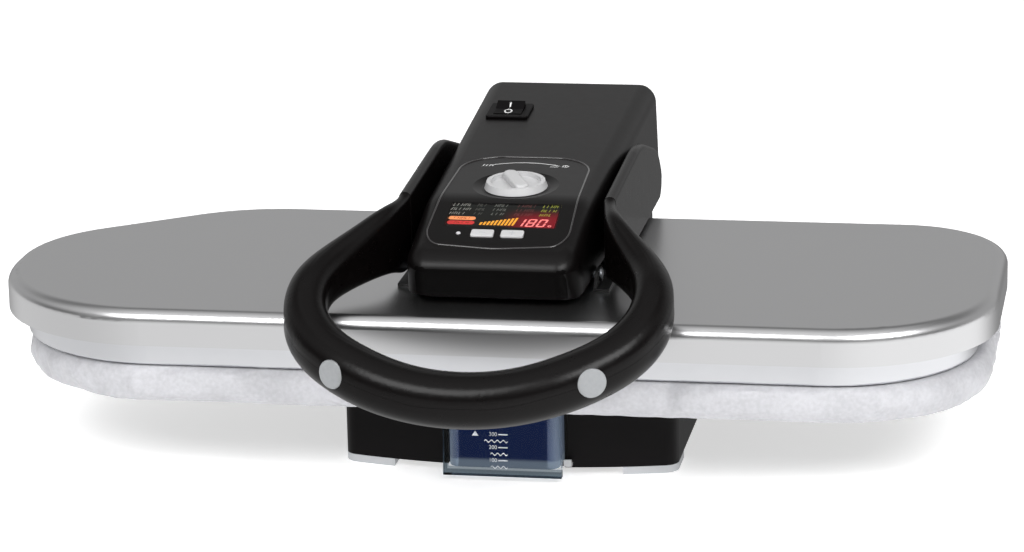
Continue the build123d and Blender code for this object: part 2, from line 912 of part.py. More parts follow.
def panel_layer(margin, thickness):
    """Layer of the arm's top inside the panel's outline."""
    with BuildPart() as layer:
        add(arm_outer)
        add(arm_outer.moved(Location((0, 0, -thickness))), mode=Mode.SUBTRACT)
        with BuildSketch(Plane.XY.offset(arm_tier_z)):
            add(panel_outline(margin))
        extrude(amount=arm_rear_y, mode=Mode.INTERSECT)
    return layer.part


def slope_plane(x, y, angle):
    """Plane that lies on the arm's top at one place, facing up."""
    tilt = radians(angle)
    return Plane(origin=(arm_x + x, y, top_z(y)), x_dir=(1, 0, 0), z_dir=(0, -sin(tilt), cos(tilt)))


display_plane = slope_plane(0, display_y, arm_front_slope)
knob_plane = slope_plane(0, knob_y, arm_rear_slope)
rocker_plane = slope_plane(rocker_x, rocker_y, arm_rear_slope)
button_planes = {
    "minus": slope_plane(-button_x, button_y, arm_front_slope),
    "plus": slope_plane(button_x, button_y, arm_front_slope),
}
lamp_plane = slope_plane(lamp_x, button_y, arm_front_slope)


def block_on(plane, width, depth, corner, low, high):
    """Rounded block that stands on a plane between two heights."""
    with BuildPart() as block:
        with BuildSketch(plane.offset(low)):
            RectangleRounded(width, depth, corner)
        extrude(amount=high - low)
    return block.part


def round_on(plane, radius, low, high):
    """Round block that stands on a plane between two heights."""
    with BuildPart() as block:
        with BuildSketch(plane.offset(low)):
            Circle(radius)
        extrude(amount=high - low)
    return block.part


def knob_dish():
    """Space of the shallow dish round the knob."""
    with BuildPart() as dish:
        with BuildSketch(knob_plane.offset(-dish_depth)):
            Circle(dish_floor_radius)
        with BuildSketch(knob_plane.offset(dish_depth)):
            Circle(2 * dish_radius - dish_floor_radius)
        loft()
    return dish.part


# What every control needs cut out of the panel and the cover below it
button_clearance = body_gap
cover_floor = arm_wall + overrun
with BuildPart() as control_panel:
    add(panel_layer(0.0, panel_thickness))
    add(block_on(display_plane, display_width, display_depth, fit_gap, -cover_floor, overrun), mode=Mode.SUBTRACT)
    for plane in button_planes.values():
        add(
            block_on(
                plane,
                button_width + 2 * button_clearance,
                button_depth + 2 * button_clearance,
                button_corner,
                -cover_floor,
                overrun,
            ),
            mode=Mode.SUBTRACT,
        )
    add(round_on(lamp_plane, lamp_radius, -cover_floor, overrun), mode=Mode.SUBTRACT)
    add(knob_dish(), mode=Mode.SUBTRACT)
    add(round_on(knob_plane, knob_stem_radius + body_gap, -cover_floor, overrun), mode=Mode.SUBTRACT)
finish(control_panel.part, "control_panel")

with BuildPart() as arm_top_cover:
    add(arm_outer)
    add(arm_block(arm_wall, arm_skirt_z - overrun), mode=Mode.SUBTRACT)
    with BuildSketch(side_plane(arm_x - arm_rear_half - overrun)):
        with BuildLine():
            FilletPolyline(
                (arm_front_y - overrun, arm_skirt_z - overrun),
                (arm_front_y - overrun, arm_tier_z),
                (arm_skirt_y, arm_tier_z),
                (arm_skirt_y, arm_skirt_z - overrun),
                radius=[0, 0, arm_front_corner / 2, 0],
                close=True,
            )
        make_face()
    extrude(amount=2 * (arm_rear_half + overrun), mode=Mode.SUBTRACT)
    add(panel_layer(fit_gap, panel_thickness), mode=Mode.SUBTRACT)
    add(block_on(display_plane, read_out_width, read_out_depth, fit_gap, -cover_floor, overrun), mode=Mode.SUBTRACT)
    for plane in button_planes.values():
        add(
            block_on(
                plane,
                button_width + 2 * button_clearance,
                button_depth + 2 * button_clearance,
                button_corner,
                -cover_floor,
                overrun,
            ),
            mode=Mode.SUBTRACT,
        )
    add(round_on(lamp_plane, lamp_radius, -cover_floor, overrun), mode=Mode.SUBTRACT)
    add(round_on(knob_plane, knob_stem_radius + body_gap, -cover_floor, overrun), mode=Mode.SUBTRACT)
    add(
        block_on(
            rocker_plane,
            bezel_width - bezel_rim,
            bezel_depth - bezel_rim,
            fit_gap,
            -cover_floor,
            overrun,
        ),
        mode=Mode.SUBTRACT,
    )
    with BuildSketch(side_plane(arm_x - arm_rear_half - overrun)):
        with Locations((pivot_y, pivot_z)):
            Circle(pivot_radius + body_gap)
        with Locations((handle_pin_y, handle_pin_z)):
            Circle(handle_pin_radius + fit_gap)
    extrude(amount=2 * (arm_rear_half + overrun), mode=Mode.SUBTRACT)
finish(arm_top_cover.part, "arm_top_cover")

# Controls
card_plane = slope_plane(0, card_y, arm_front_slope)
window_floor = -display_lip - display_thickness
with BuildPart() as display_window:
    add(
        block_on(
            display_plane,
            display_width - 2 * fit_gap,
            display_depth - 2 * fit_gap,
            fit_gap,
            window_floor,
            -display_lip,
        )
    )
finish(display_window.part, "display_window")

with BuildPart() as display_card:
    add(block_on(card_plane, card_width, card_depth, button_corner, -card_drop - card_thickness, -card_drop))
    add(
        block_on(
            display_plane,
            read_out_width - 2 * fit_gap,
            read_out_depth - 2 * fit_gap,
            fit_gap,
            -card_drop,
            window_floor,
        )
    )
finish(display_card.part, "display_card")

with BuildPart() as status_lamp:
    add(round_on(lamp_plane, lamp_radius, -card_drop, lamp_radius / 2))
    fillet(status_lamp.edges().filter_by(GeomType.CIRCLE).sort_by(Axis.Z)[-1], radius=lamp_radius / 2)
finish(status_lamp.part, "status_lamp")

button_bottom = -card_drop + button_travel + fit_gap
for label, plane in button_planes.items():
    with BuildPart() as button:
        add(block_on(plane, button_width, button_depth, button_corner, button_bottom, button_proud))
        top_edges = button.faces().sort_by(Axis.Z)[-1].edges()
        fillet(top_edges, radius=button_proud / 2)
    finish(button.part, f"{label}_button")

# Knob: a low round body with a grip bar across it, between two pockets inside its rim
knob_floor = knob_plane.offset(-dish_depth + body_gap)


def knob_grip():
    """Grip bar across the knob, rounded along its top."""
    with BuildPart() as grip:
        with BuildSketch(knob_floor.offset(knob_skirt - knob_pocket_depth)):
            SlotOverall(2 * knob_radius - 2 * knob_grip_flare, knob_grip_width, rotation=90 + knob_turn)
        extrude(amount=knob_grip_height - knob_skirt + knob_pocket_depth)
        fillet(grip.faces().sort_by(Axis.Z)[-1].edges(), radius=knob_grip_flare / 2)
    return grip.part


with BuildPart() as temperature_knob:
    with BuildSketch(knob_floor):
        Circle(knob_radius)
    with BuildSketch(knob_floor.offset(knob_skirt)):
        Circle(knob_radius - knob_grip_flare / 2)
    loft()
    with BuildSketch(knob_floor.offset(knob_skirt)):
        Circle(knob_radius - knob_grip_flare / 2 - knob_rim)
        Rectangle(knob_grip_width, 2 * knob_radius, rotation=knob_turn, mode=Mode.SUBTRACT)
    extrude(amount=-knob_pocket_depth, mode=Mode.SUBTRACT)
    add(knob_grip())
    with BuildSketch(knob_floor):
        Circle(knob_stem_radius)
    extrude(amount=-knob_stem_length)
finish(temperature_knob.part, "temperature_knob")

dial_top = -arm_wall - fit_gap / 2
with BuildPart() as dial_switch:
    add(
        block_on(
            knob_plane,
            dial_body_size,
            dial_body_size,
            fit_gap,
            dial_top - dial_body_height,
            dial_top,
        )
    )
    add(
        round_on(knob_plane, knob_stem_radius + running_gap, dial_top - 2 * dial_body_height, overrun),
        mode=Mode.SUBTRACT,
    )
finish(dial_switch.part, "dial_switch")

bezel_hole_width = rocker_width + 2 * body_gap
bezel_hole_depth = rocker_depth + 6 * body_gap
with BuildPart() as switch_bezel:
    add(block_on(rocker_plane, bezel_width, bezel_depth, bezel_height, 0.0, bezel_height))
    fillet(switch_bezel.faces().sort_by(Axis.Z)[-1].edges(), radius=bezel_height / 3)
    add(
        block_on(
            rocker_plane,
            bezel_width - bezel_rim - 2 * fit_gap,
            bezel_depth - bezel_rim - 2 * fit_gap,
            fit_gap,
            -switch_depth,
            0.0,
        )
    )
    add(
        block_on(
            rocker_plane,
            bezel_hole_width,
            bezel_hole_depth,
            fit_gap,
            -switch_depth + bezel_height,
            overrun,
        ),
        mode=Mode.SUBTRACT,
    )
    with BuildSketch(side_plane(arm_x + rocker_x - rocker_width / 2 - rocker_pin_length - fit_gap)):
        with Locations((rocker_y, top_z(rocker_y))):
            Circle(rocker_pin_radius + running_gap)
    extrude(amount=rocker_width + 2 * (rocker_pin_length + fit_gap), mode=Mode.SUBTRACT)
finish(switch_bezel.part, "switch_bezel")

# The rocker's side view is symmetric about its pivot, and at rest its rear end stands up
rocker_angle = degrees(atan2(rocker_rise - rocker_fall, rocker_depth))
rocker_side = Plane(
    origin=(arm_x + rocker_x - rocker_width / 2, rocker_y, top_z(rocker_y)),
    x_dir=(0, cos(radians(arm_rear_slope + rocker_angle)), sin(radians(arm_rear_slope + rocker_angle))),
    z_dir=(1, 0, 0),
)
rocker_mid = (rocker_rise + rocker_fall) / 2
with BuildPart() as power_rocker:
    with BuildSketch(rocker_side):
        with BuildLine():
            Polyline(
                (-rocker_depth / 2, -rocker_sink / 2),
                (-rocker_depth / 2, rocker_mid),
                (0, rocker_mid * 2 / 3),
                (rocker_depth / 2, rocker_mid),
                (rocker_depth / 2, -rocker_sink / 2),
                (rocker_depth / 4, -rocker_sink * 3 / 2),
                (-rocker_depth / 4, -rocker_sink * 3 / 2),
                close=True,
            )
        make_face()
    extrude(amount=rocker_width)
    with BuildSketch(side_plane(arm_x + rocker_x - rocker_width / 2 - rocker_pin_length)):
        with Locations((rocker_y, top_z(rocker_y))):
            Circle(rocker_pin_radius)
    extrude(amount=rocker_width + 2 * rocker_pin_length)
finish(power_rocker.part, "power_rocker")

# Lower cover: a tray under the arm with two ears that close over the hinge
relief = tan(radians(relief_slope))
tier_height = arm_tier_z + lower_lip - arm_skirt_z + overrun
tier_inset = arm_wall + fit_gap + tier_height * tan(radians(arm_draft))


def lower_block(inset, floor):
    """Tray form of the lower cover, relieved below towards the rear."""
    drawn = tier_inset + inset
    corners = [
        (arm_x - arm_front_half + drawn, lower_front_y + inset),
        (arm_x + arm_front_half - drawn, lower_front_y + inset),
        (arm_x + arm_half_at(lower_rear_y) - drawn, lower_rear_y - inset),
        (arm_x - arm_half_at(lower_rear_y) + drawn, lower_rear_y - inset),
    ]
    front_radius = arm_front_corner - arm_wall - inset
    rear_radius = arm_wall - inset / 2
    with BuildPart() as block:
        with BuildSketch(Plane.XY.offset(floor)):
            add(rounded_shape(corners, [front_radius, front_radius, rear_radius, rear_radius]))
        extrude(amount=arm_tier_z + lower_lip - lower_bottom + inset)
        with BuildSketch(side_plane(arm_x - arm_rear_half - overrun)):
            with BuildLine():
                Polyline(
                    (relief_start_y, floor),
                    (lower_rear_y + overrun, floor + (lower_rear_y + overrun - relief_start_y) * relief),
                    (lower_rear_y + overrun, floor - overrun),
                    (relief_start_y, floor - overrun),
                    close=True,
                )
            make_face()
        extrude(amount=2 * (arm_rear_half + overrun), mode=Mode.SUBTRACT)
    return block.part


def ear_profile(inset):
    """Side outline of one hinge ear."""
    reach = knuckle_radius - inset
    with BuildSketch() as profile:
        with Locations((hinge_y, hinge_z)):
            Circle(reach)
        with BuildLine():
            Polyline(
                (hinge_y - reach, hinge_z),
                (ear_front_y + inset, arm_tier_z - arm_front_corner / 2 + inset),
                (ear_front_y + inset, arm_tier_z + lower_lip / 2 - inset),
                (hinge_y + reach, arm_tier_z + lower_lip / 2 - inset),
                (hinge_y + reach, hinge_z),
                close=True,
            )
        make_face()
    return profile.sketch


with BuildPart() as arm_lower_cover:
    add(lower_block(0.0, lower_bottom))
    add(lower_block(lower_wall, lower_bottom + lower_wall), mode=Mode.SUBTRACT)
    with BuildSketch(Plane.XY.offset(lower_bottom - overrun)):
        with Locations((arm_x, lower_rear_y)):
            Rectangle(2 * ear_inner_x, 2 * (lower_rear_y - ear_front_y))
    extrude(amount=knuckle_radius + overrun, mode=Mode.SUBTRACT)
    for side in (-1, 1):
        with BuildSketch(side_plane(arm_x + side * ear_inner_x)):
            add(ear_profile(0.0))
        extrude(amount=side * (ear_outer_x - ear_inner_x))
        with BuildSketch(side_plane(arm_x + side * ear_inner_x)):
            add(ear_profile(lower_wall))
        extrude(amount=side * (ear_outer_x - ear_inner_x - lower_wall), mode=Mode.SUBTRACT)
    with BuildSketch(side_plane(arm_x - arm_rear_half - overrun)):
        with Locations((pivot_y, pivot_z)):
            Circle(pivot_radius + body_gap)
    extrude(amount=2 * (arm_rear_half + overrun), mode=Mode.SUBTRACT)
finish(arm_lower_cover.part, "arm_lower_cover")

# Steel lever: two side plates and a web, from the rear hinge to the plate's pivot
lever_floor = lower_bottom + lower_wall + lever_floor_gap
with BuildPart() as arm_lever:
    for side in (-1, 1):
        with BuildSketch(side_plane(arm_x + side * lever_inner_x)):
            with BuildLine():
                Polyline(
                    (lever_front_y, lever_floor),
                    (lever_front_y, lever_front_top),
                    (lever_rear_y, lever_rear_top),
                    (hinge_y + lever_head_radius, hinge_z),
                    (hinge_y - lever_head_radius, hinge_z),
                    (ear_front_y, lever_floor + (ear_front_y - relief_start_y) * relief),
                    (relief_start_y, lever_floor),
                    close=True,
                )
            make_face()
            with Locations((hinge_y, hinge_z)):
                Circle(lever_head_radius)
                Circle(bush_radius, mode=Mode.SUBTRACT)
            with Locations((pivot_y, pivot_z)):
                Circle(pivot_radius + running_gap, mode=Mode.SUBTRACT)
            with Locations((handle_pin_y, handle_pin_z)):
                Circle(handle_pin_radius, mode=Mode.SUBTRACT)
        extrude(amount=side * lever_thickness)
    web_slope = (lever_rear_top - lever_front_top) / (lever_rear_y - lever_front_y)
    web_rear = handle_pin_y - handle_pin_head
    with BuildSketch(side_plane(arm_x - lever_inner_x)):
        with BuildLine():
            Polyline(
                (lever_front_y, lever_front_top),
                (web_rear, lever_front_top + (web_rear - lever_front_y) * web_slope),
                (web_rear, lever_front_top + (web_rear - lever_front_y) * web_slope - lever_thickness),
                (lever_front_y, lever_front_top - lever_thickness),
                close=True,
            )
        make_face()
    extrude(amount=2 * lever_inner_x)
finish(arm_lever.part, "arm_lever")

with BuildPart() as hinge_bushes:
    for side in (-1, 1):
        with BuildSketch(side_plane(arm_x + side * lever_inner_x)):
            with Locations((hinge_y, hinge_z)):
                Circle(bush_radius)
        extrude(amount=side * lever_thickness)
        with BuildSketch(side_plane(arm_x + side * (lever_inner_x + lever_thickness))):
            with Locations((hinge_y, hinge_z)):
                Circle(bush_flange_radius)
        extrude(amount=side * bush_flange)
    with BuildSketch(side_plane(arm_x - ear_outer_x)):
        with Locations((hinge_y, hinge_z)):
            Circle(shaft_radius + running_gap)
    extrude(amount=2 * ear_outer_x, mode=Mode.SUBTRACT)
finish(hinge_bushes.part, "hinge_bushes")

# Handle pins, plate pivots and their brackets
with BuildPart() as handle_pins:
    for side in (-1, 1):
        with BuildSketch(side_plane(arm_x + side * (lever_inner_x - handle_pin_head_length))):
            with Locations((handle_pin_y, handle_pin_z)):
                Circle(handle_pin_head)
        extrude(amount=side * handle_pin_head_length)
        with BuildSketch(side_plane(arm_x + side * lever_inner_x)):
            with Locations((handle_pin_y, handle_pin_z)):
                Circle(handle_pin_radius)
        extrude(amount=side * (cheek_inner + handle_pin_depth - lever_inner_x))
finish(handle_pins.part, "handle_pins")

bracket_x = arm_half_at(pivot_y) + bracket_inner_gap
with BuildPart() as platen_brackets:
    for side in (-1, 1):
        with BuildSketch(side_plane(arm_x + side * bracket_x)):
            with BuildLine():
                FilletPolyline(
                    (pivot_y - bracket_length / 2, cover_top),
                    (pivot_y + bracket_length / 2, cover_top),
                    (pivot_y + bracket_length / 4, cover_top + bracket_height),
                    (pivot_y - bracket_length / 4, cover_top + bracket_height),
                    radius=[0, 0, pivot_radius, pivot_radius],
                    close=True,
                )
            make_face()
            with Locations((pivot_y, pivot_z)):
                Circle(pivot_radius, mode=Mode.SUBTRACT)
        extrude(amount=side * bracket_thickness)
        with BuildSketch(Plane.XY.offset(cover_top)):
            with Locations((arm_x + side * (bracket_x + (bracket_thickness + bracket_foot) / 2), pivot_y)):
                Rectangle(bracket_thickness + bracket_foot, bracket_length)
        extrude(amount=bracket_thickness)
finish(platen_brackets.part, "platen_brackets")

with BuildPart() as platen_pivots:
    for side in (-1, 1):
        with BuildSketch(side_plane(arm_x + side * (lever_inner_x - pivot_head))):
            with Locations((pivot_y, pivot_z)):
                Circle(pivot_radius)
        extrude(amount=side * (bracket_x + bracket_thickness - lever_inner_x + 2 * pivot_head))
        with BuildSketch(side_plane(arm_x + side * (bracket_x + bracket_thickness))):
            with Locations((pivot_y, pivot_z)):
                Circle(pivot_head_radius)
        extrude(amount=side * pivot_head)
finish(platen_pivots.part, "platen_pivots")

# Loop handle: sections laid along a path, from one cheek round the front to the other
cheek_mid = cheek_inner + cheek_thickness / 2
cheek_middle_z = (cheek_top_front + cheek_front_bottom) / 2
cheek_half_height = (cheek_top_front - cheek_front_bottom) / 2


def loop_stations():
    """Centre, half thickness and half height of each section on one side."""
    start = Vector(cheek_mid, cheek_front_y, cheek_middle_z)
    stations = [(start, cheek_thickness / 2 - cheek_step, cheek_half_height - cheek_step)]
    for out, forward, down, thick, high in loop_shares:
        centre = Vector(
            loop_half_width * out,
            cheek_front_y - loop_reach * forward,
            cheek_middle_z - loop_drop * down,
        )
        stations.append((centre, grip_radius * thick, grip_radius * high))
    return stations


def loop_frames():
    """Sections of the whole loop as planes whose own X points outward and Y upward."""
    half = loop_stations()
    other = [(Vector(-centre.X, centre.Y, centre.Z), thick, high) for centre, thick, high in half[-2::-1]]
    whole = half + other
    frames = []
    for place, (centre, thick, high) in enumerate(whole):
        if place == 0:
            along = Vector(0, -1, 0)
        elif place == len(whole) - 1:
            along = Vector(0, 1, 0)
        else:
            along = (whole[place + 1][0] - whole[place - 1][0]).normalized()
        outward = Vector(0, 0, 1).cross(along).normalized()
        plane = Plane(origin=centre + Vector(arm_x, 0, 0), x_dir=outward, z_dir=along)
        frames.append((plane, thick, high))
    return frames


handle_frames = loop_frames()
section_count = len(handle_frames)


def loop_solid():
    """The loop as one solid."""
    with BuildPart() as loop:
        for plane, thick, high in handle_frames:
            with BuildSketch(plane):
                RectangleRounded(2 * thick, 2 * high, section_corner_share * min(thick, high))
        loft()
    return loop.part


def lower_region(drop):
    """Everything that belongs to the loop's lower shell, lowered by drop."""
    first = section_count // 2 - len(parting_shares) + 1
    shares = list(parting_shares) + list(parting_shares[-2::-1])
    with BuildPart() as region:
        for share, (plane, thick, high) in zip(shares, handle_frames[first:]):
            top = share * high - drop
            bottom = -high - overrun
            with BuildSketch(plane):
                with Locations((0, (top + bottom) / 2)):
                    Rectangle(2 * (thick + overrun), top - bottom)
        loft()
    return region.part


def core_rod(radius):
    """Round rod bent to one arc inside the loop's front."""
    first = handle_frames[core_section][0]
    middle = handle_frames[section_count // 2][0]
    last = handle_frames[section_count - 1 - core_section][0]
    with BuildPart() as rod:
        with BuildLine() as bend:
            ThreePointArc(first.origin, middle.origin, last.origin)
        with BuildSketch(Plane(origin=bend.line @ 0, z_dir=bend.line % 0)):
            Circle(radius)
        sweep(path=bend.line)
    return rod.part


def cap_planes():
    """Planes of the two cap seats, facing away from the loop's middle line."""
    planes = []
    for place in (cap_section, section_count - 1 - cap_section):
        plane = handle_frames[place][0]
        planes.append(Plane(origin=plane.origin, x_dir=plane.z_dir, z_dir=plane.x_dir))
    return planes


cap_floor = grip_radius - cap_seat
screw_head = cap_thickness


def cap_cutter():
    """Cap seats and the screw holes below them."""
    with BuildPart() as cutter:
        for plane in cap_planes():
            for start, radius in (
                (cap_floor, cap_radius + fit_gap),
                (cap_floor - screw_head, handle_screw_radius + running_gap),
                (0, handle_screw_shank + running_gap),
            ):
                with BuildSketch(plane.offset(start)):
                    Circle(radius)
                extrude(amount=2 * grip_radius - start)
    return cutter.part


def cheek(side):
    """One cheek plate with rounded edges, joined to the loop at its front."""
    corners = [
        (cheek_front_y, cheek_front_bottom),
        (cheek_front_y, cheek_top_front),
        (cheek_peak_y, cheek_top_rear),
        (cheek_shoulder_y, cheek_shoulder_z),
        (cheek_rear_y, cheek_bottom),
        (cheek_bottom_y, cheek_bottom),
    ]
    radii = [0, 0, cheek_peak_radius, cheek_shoulder_radius, cheek_corner, 0]
    with BuildPart() as plate:
        with BuildSketch(side_plane(arm_x + side * cheek_inner)):
            add(rounded_shape(corners, radii))
        extrude(amount=side * cheek_thickness)
        flats = [
            edge
            for edge in plate.edges()
            if edge.bounding_box().size.X < fit_gap and edge.bounding_box().max.Y > cheek_front_y + fit_gap
        ]
        fillet(flats, radius=section_corner_share * cheek_thickness / 2)
    return plate.part


with BuildPart() as handle_upper:
    add(loop_solid())
    for side in (-1, 1):
        add(cheek(side))
    add(lower_region(0.0), mode=Mode.SUBTRACT)
    add(core_rod(core_radius + fit_gap), mode=Mode.SUBTRACT)
    add(cap_cutter(), mode=Mode.SUBTRACT)
    for side in (-1, 1):
        with BuildSketch(side_plane(arm_x + side * (cheek_inner - overrun))):
            with Locations((handle_pin_y, handle_pin_z)):
                Circle(handle_pin_radius + running_gap)
        extrude(amount=side * (overrun + handle_pin_depth + fit_gap), mode=Mode.SUBTRACT)
finish(handle_upper.part, "handle_upper")

with BuildPart() as handle_lower:
    add(loop_solid())
    add(lower_region(parting_gap), mode=Mode.INTERSECT)
    add(core_rod(core_radius + fit_gap), mode=Mode.SUBTRACT)
    add(cap_cutter(), mode=Mode.SUBTRACT)
finish(handle_lower.part, "handle_lower")

with BuildPart() as handle_core:
    add(core_rod(core_radius))
finish(handle_core.part, "handle_core")

with BuildPart() as handle_caps:
    for plane in cap_planes():
        with BuildSketch(plane.offset(cap_floor)):
            Circle(cap_radius)
        extrude(amount=cap_thickness)
    fillet(handle_caps.edges().filter_by(GeomType.CIRCLE).group_by(Axis.Y)[0], radius=cap_edge)
finish(handle_caps.part, "handle_caps")

# The screws end just clear of the core rod
screw_start = core_radius + body_gap
with BuildPart() as handle_screws:
    for plane in cap_planes():
        with BuildSketch(plane.offset(screw_start)):
            Circle(handle_screw_shank)
        extrude(amount=cap_floor - screw_start)
        with BuildSketch(plane.offset(cap_floor - screw_head)):
            Circle(handle_screw_radius)
        extrude(amount=screw_head)
finish(handle_screws.part, "handle_screws")

# Springs round the hinge that carry part of the arm's weight
with BuildPart() as lift_springs:
    for side in (-1, 1):
        spring_middle = (ear_inner_x + ear_outer_x - lower_wall) / 2
        spring_length = spring_pitch * spring_turns
        with BuildLine() as coil:
            Helix(
                spring_pitch,
                spring_length,
                spring_radius,
                center=(arm_x + side * spring_middle - spring_length / 2, hinge_y, hinge_z),
                direction=(1, 0, 0),
            )
        with BuildSketch(Plane(origin=coil.line @ 0, z_dir=coil.line % 0)):
            Circle(spring_wire_radius)
        sweep(path=coil.line, is_frenet=True)
finish(lift_springs.part, "lift_springs")
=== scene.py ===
"""Steam ironing press: finishes, padded board cover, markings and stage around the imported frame."""

from math import atan2, cos, pi, radians, sin, tan

import bmesh
import bpy
from mathutils import Matrix, Vector


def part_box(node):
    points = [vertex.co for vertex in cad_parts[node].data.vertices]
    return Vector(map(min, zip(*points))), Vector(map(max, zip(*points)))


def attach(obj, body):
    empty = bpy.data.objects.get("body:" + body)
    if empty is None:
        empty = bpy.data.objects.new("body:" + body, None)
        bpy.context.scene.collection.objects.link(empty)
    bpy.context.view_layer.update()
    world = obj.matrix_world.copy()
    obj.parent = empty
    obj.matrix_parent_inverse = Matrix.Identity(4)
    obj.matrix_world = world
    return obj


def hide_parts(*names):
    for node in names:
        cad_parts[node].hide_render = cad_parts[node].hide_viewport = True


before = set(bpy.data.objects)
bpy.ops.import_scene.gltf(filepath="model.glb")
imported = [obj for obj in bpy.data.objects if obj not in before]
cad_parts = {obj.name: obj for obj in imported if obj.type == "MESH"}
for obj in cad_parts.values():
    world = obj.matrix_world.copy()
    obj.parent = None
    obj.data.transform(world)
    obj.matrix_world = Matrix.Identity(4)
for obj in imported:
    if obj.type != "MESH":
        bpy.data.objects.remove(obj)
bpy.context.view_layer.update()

bl_info = {
    "name": "Steam ironing press",
    "version": (1, 0, 0),
    "blender": (4, 5, 0),
    "location": "3D View > Sidebar > Press",
    "description": "Dresses a steam ironing press with its finishes, padded board and markings",
    "category": "Object",
}

MM = 0.001
FRONT_SLOPE = radians(15)
REAR_SLOPE = radians(4)
WINDOW_LEAN = radians(6)

# Housing's front lip: the press has it longer than the moulding that carries it
LIP_MIDDLE = 11 * MM
LIP_KEYS_HALF = 30 * MM
LIP_KEYS_FRONT = -79 * MM
LIP_START = -66 * MM
LIP_PANEL_FRONT = -81.8 * MM
LIP_LAND = 10.6 * MM
LIP_PANEL_REACH = 10.5 * MM
LIP_REACH = 14 * MM
LIP_FOOT = 104 * MM
LIP_RISE = 37 * MM

GRAIN_DETAIL = 3.0
PRINT_THICKNESS = 0.05 * MM
FLOOR_HALF = 12.0

# Each softbox's name, place, aim, width, height and power in watts
SOFTBOXES = (
    ("right_box", (1.45, -1.6, 1.75), (0.05, -0.1, 0.1), 1.7, 1.0, 46),
    ("left_box", (-0.75, -1.9, 1.75), (0.0, -0.1, 0.1), 1.3, 1.0, 30),
    ("top_box", (0.0, 0.2, 3.0), (0, 0, 0), 3.0, 3.0, 8),
)


def linear(hex_colour):
    """Linear colour, without alpha, of an sRGB hex colour."""
    parts = [int(hex_colour[i : i + 2], 16) / 255 for i in (1, 3, 5)]
    return tuple(c / 12.92 if c <= 0.04045 else ((c + 0.055) / 1.055) ** 2.4 for c in parts)


# Shader nodes


def add_node(tree, kind, inputs=None, **settings):
    """Add one node with its settings; an input is a value, or an output to link from."""
    made = tree.nodes.new(kind)
    for name, value in settings.items():
        setattr(made, name, value)
    for name, value in (inputs or {}).items():
        if isinstance(value, bpy.types.NodeSocket):
            tree.links.new(value, made.inputs[name])
        else:
            made.inputs[name].default_value = value
    return made


def start_material(name, base, **sockets):
    """New material with its Principled shader set; returns material, tree and shader."""
    material = bpy.data.materials.new(name)
    material.use_nodes = True
    tree = material.node_tree
    shader = tree.nodes["Principled BSDF"]
    shader.inputs["Base Color"].default_value = (*base, 1)
    for socket, value in sockets.items():
        shader.inputs[socket.replace("_", " ")].default_value = value
    return material, tree, shader


def finished(
    name, hex_colour, roughness, colours=None, relief=None, relief_detail=GRAIN_DETAIL, **sockets
):
    """Material whose roughness, colour and relief each follow a noise in the object's own metres.

    roughness is (grain, lowest, highest), colours (grain, one colour, the other) and relief (grain,
    depth), with grains and depth in millimetres.
    """
    material, tree, shader = start_material(name, linear(hex_colour), **sockets)
    place = add_node(tree, "ShaderNodeTexCoord").outputs["Object"]
    for socket, spread in (("Roughness", roughness), ("Base Color", colours), ("Normal", relief)):
        if spread is None:
            continue
        detail = relief_detail if socket == "Normal" else GRAIN_DETAIL
        inputs = {"Vector": place, "Scale": 1 / (spread[0] * MM), "Detail": detail}
        grain = add_node(tree, "ShaderNodeTexNoise", inputs).outputs["Fac"]
        if socket == "Roughness":
            inputs = {"Value": grain, "To Min": spread[1], "To Max": spread[2]}
            made = add_node(tree, "ShaderNodeMapRange", inputs).outputs["Result"]
        elif socket == "Base Color":
            one, other = ((*linear(colour), 1) for colour in spread[1:])
            inputs = {"Factor": grain, "A": one, "B": other}
            made = add_node(tree, "ShaderNodeMix", inputs, data_type="RGBA").outputs["Result"]
        else:
            inputs = {"Height": grain, "Strength": 1.0, "Distance": spread[1] * MM}
            made = add_node(tree, "ShaderNodeBump", inputs).outputs["Normal"]
        tree.links.new(made, shader.inputs[socket])
    return material


# Finishes, each named for the real material and how its surface was made


def silver_lacquered_steel():
    """Pressed sheet steel under silver lacquer: soft, wide reflections with a faint ripple."""
    # The real ripple is under a millimetre apart and is drawn coarser, so that it shows
    return finished(
        "silver_lacquered_steel", "#cfcfd0", (40, 0.27, 0.29), None, (9, 0.0006), 0.0, Metallic=1.0
    )


def machined_aluminium():
    """Die-cast soleplate with a turned and polished rim: bright, slightly streaked metal."""
    return finished(
        "machined_aluminium", "#d9dadd", (5, 0.28, 0.38), relief=(1.2, 0.004), Metallic=1.0
    )


def moulded_black_abs():
    """Satin moulded ABS: deep warm black with a broad soft sheen from its fine spark texture."""
    # The spark texture's pits are a tenth of a millimetre apart and are drawn coarser, here and in
    # the other moulded plastics and rubbers
    return finished(
        "moulded_black_abs",
        "#070505",
        (6, 0.34, 0.38),
        (30, "#060404", "#090707"),
        (1.1, 0.004),
        IOR=1.54,
        Specular_IOR_Level=0.20,
    )


def textured_black_abs():
    """Deeply spark-textured moulded ABS of the base: black that hardly mirrors anything."""
    return finished(
        "textured_black_abs",
        "#080607",
        (6, 0.44, 0.50),
        (30, "#070506", "#0a0809"),
        (1.1, 0.006),
        IOR=1.54,
        Specular_IOR_Level=0.10,
    )


def painted_shade_abs():
    """Painted shade on the housing's front apron: a darker, matt copy of the housing's black ABS that
    mirrors almost nothing.
    """
    return finished(
        "painted_shade_abs",
        "#050404",
        (6, 0.46, 0.52),
        relief=(1.1, 0.005),
        IOR=1.54,
        Specular_IOR_Level=0.04,
    )


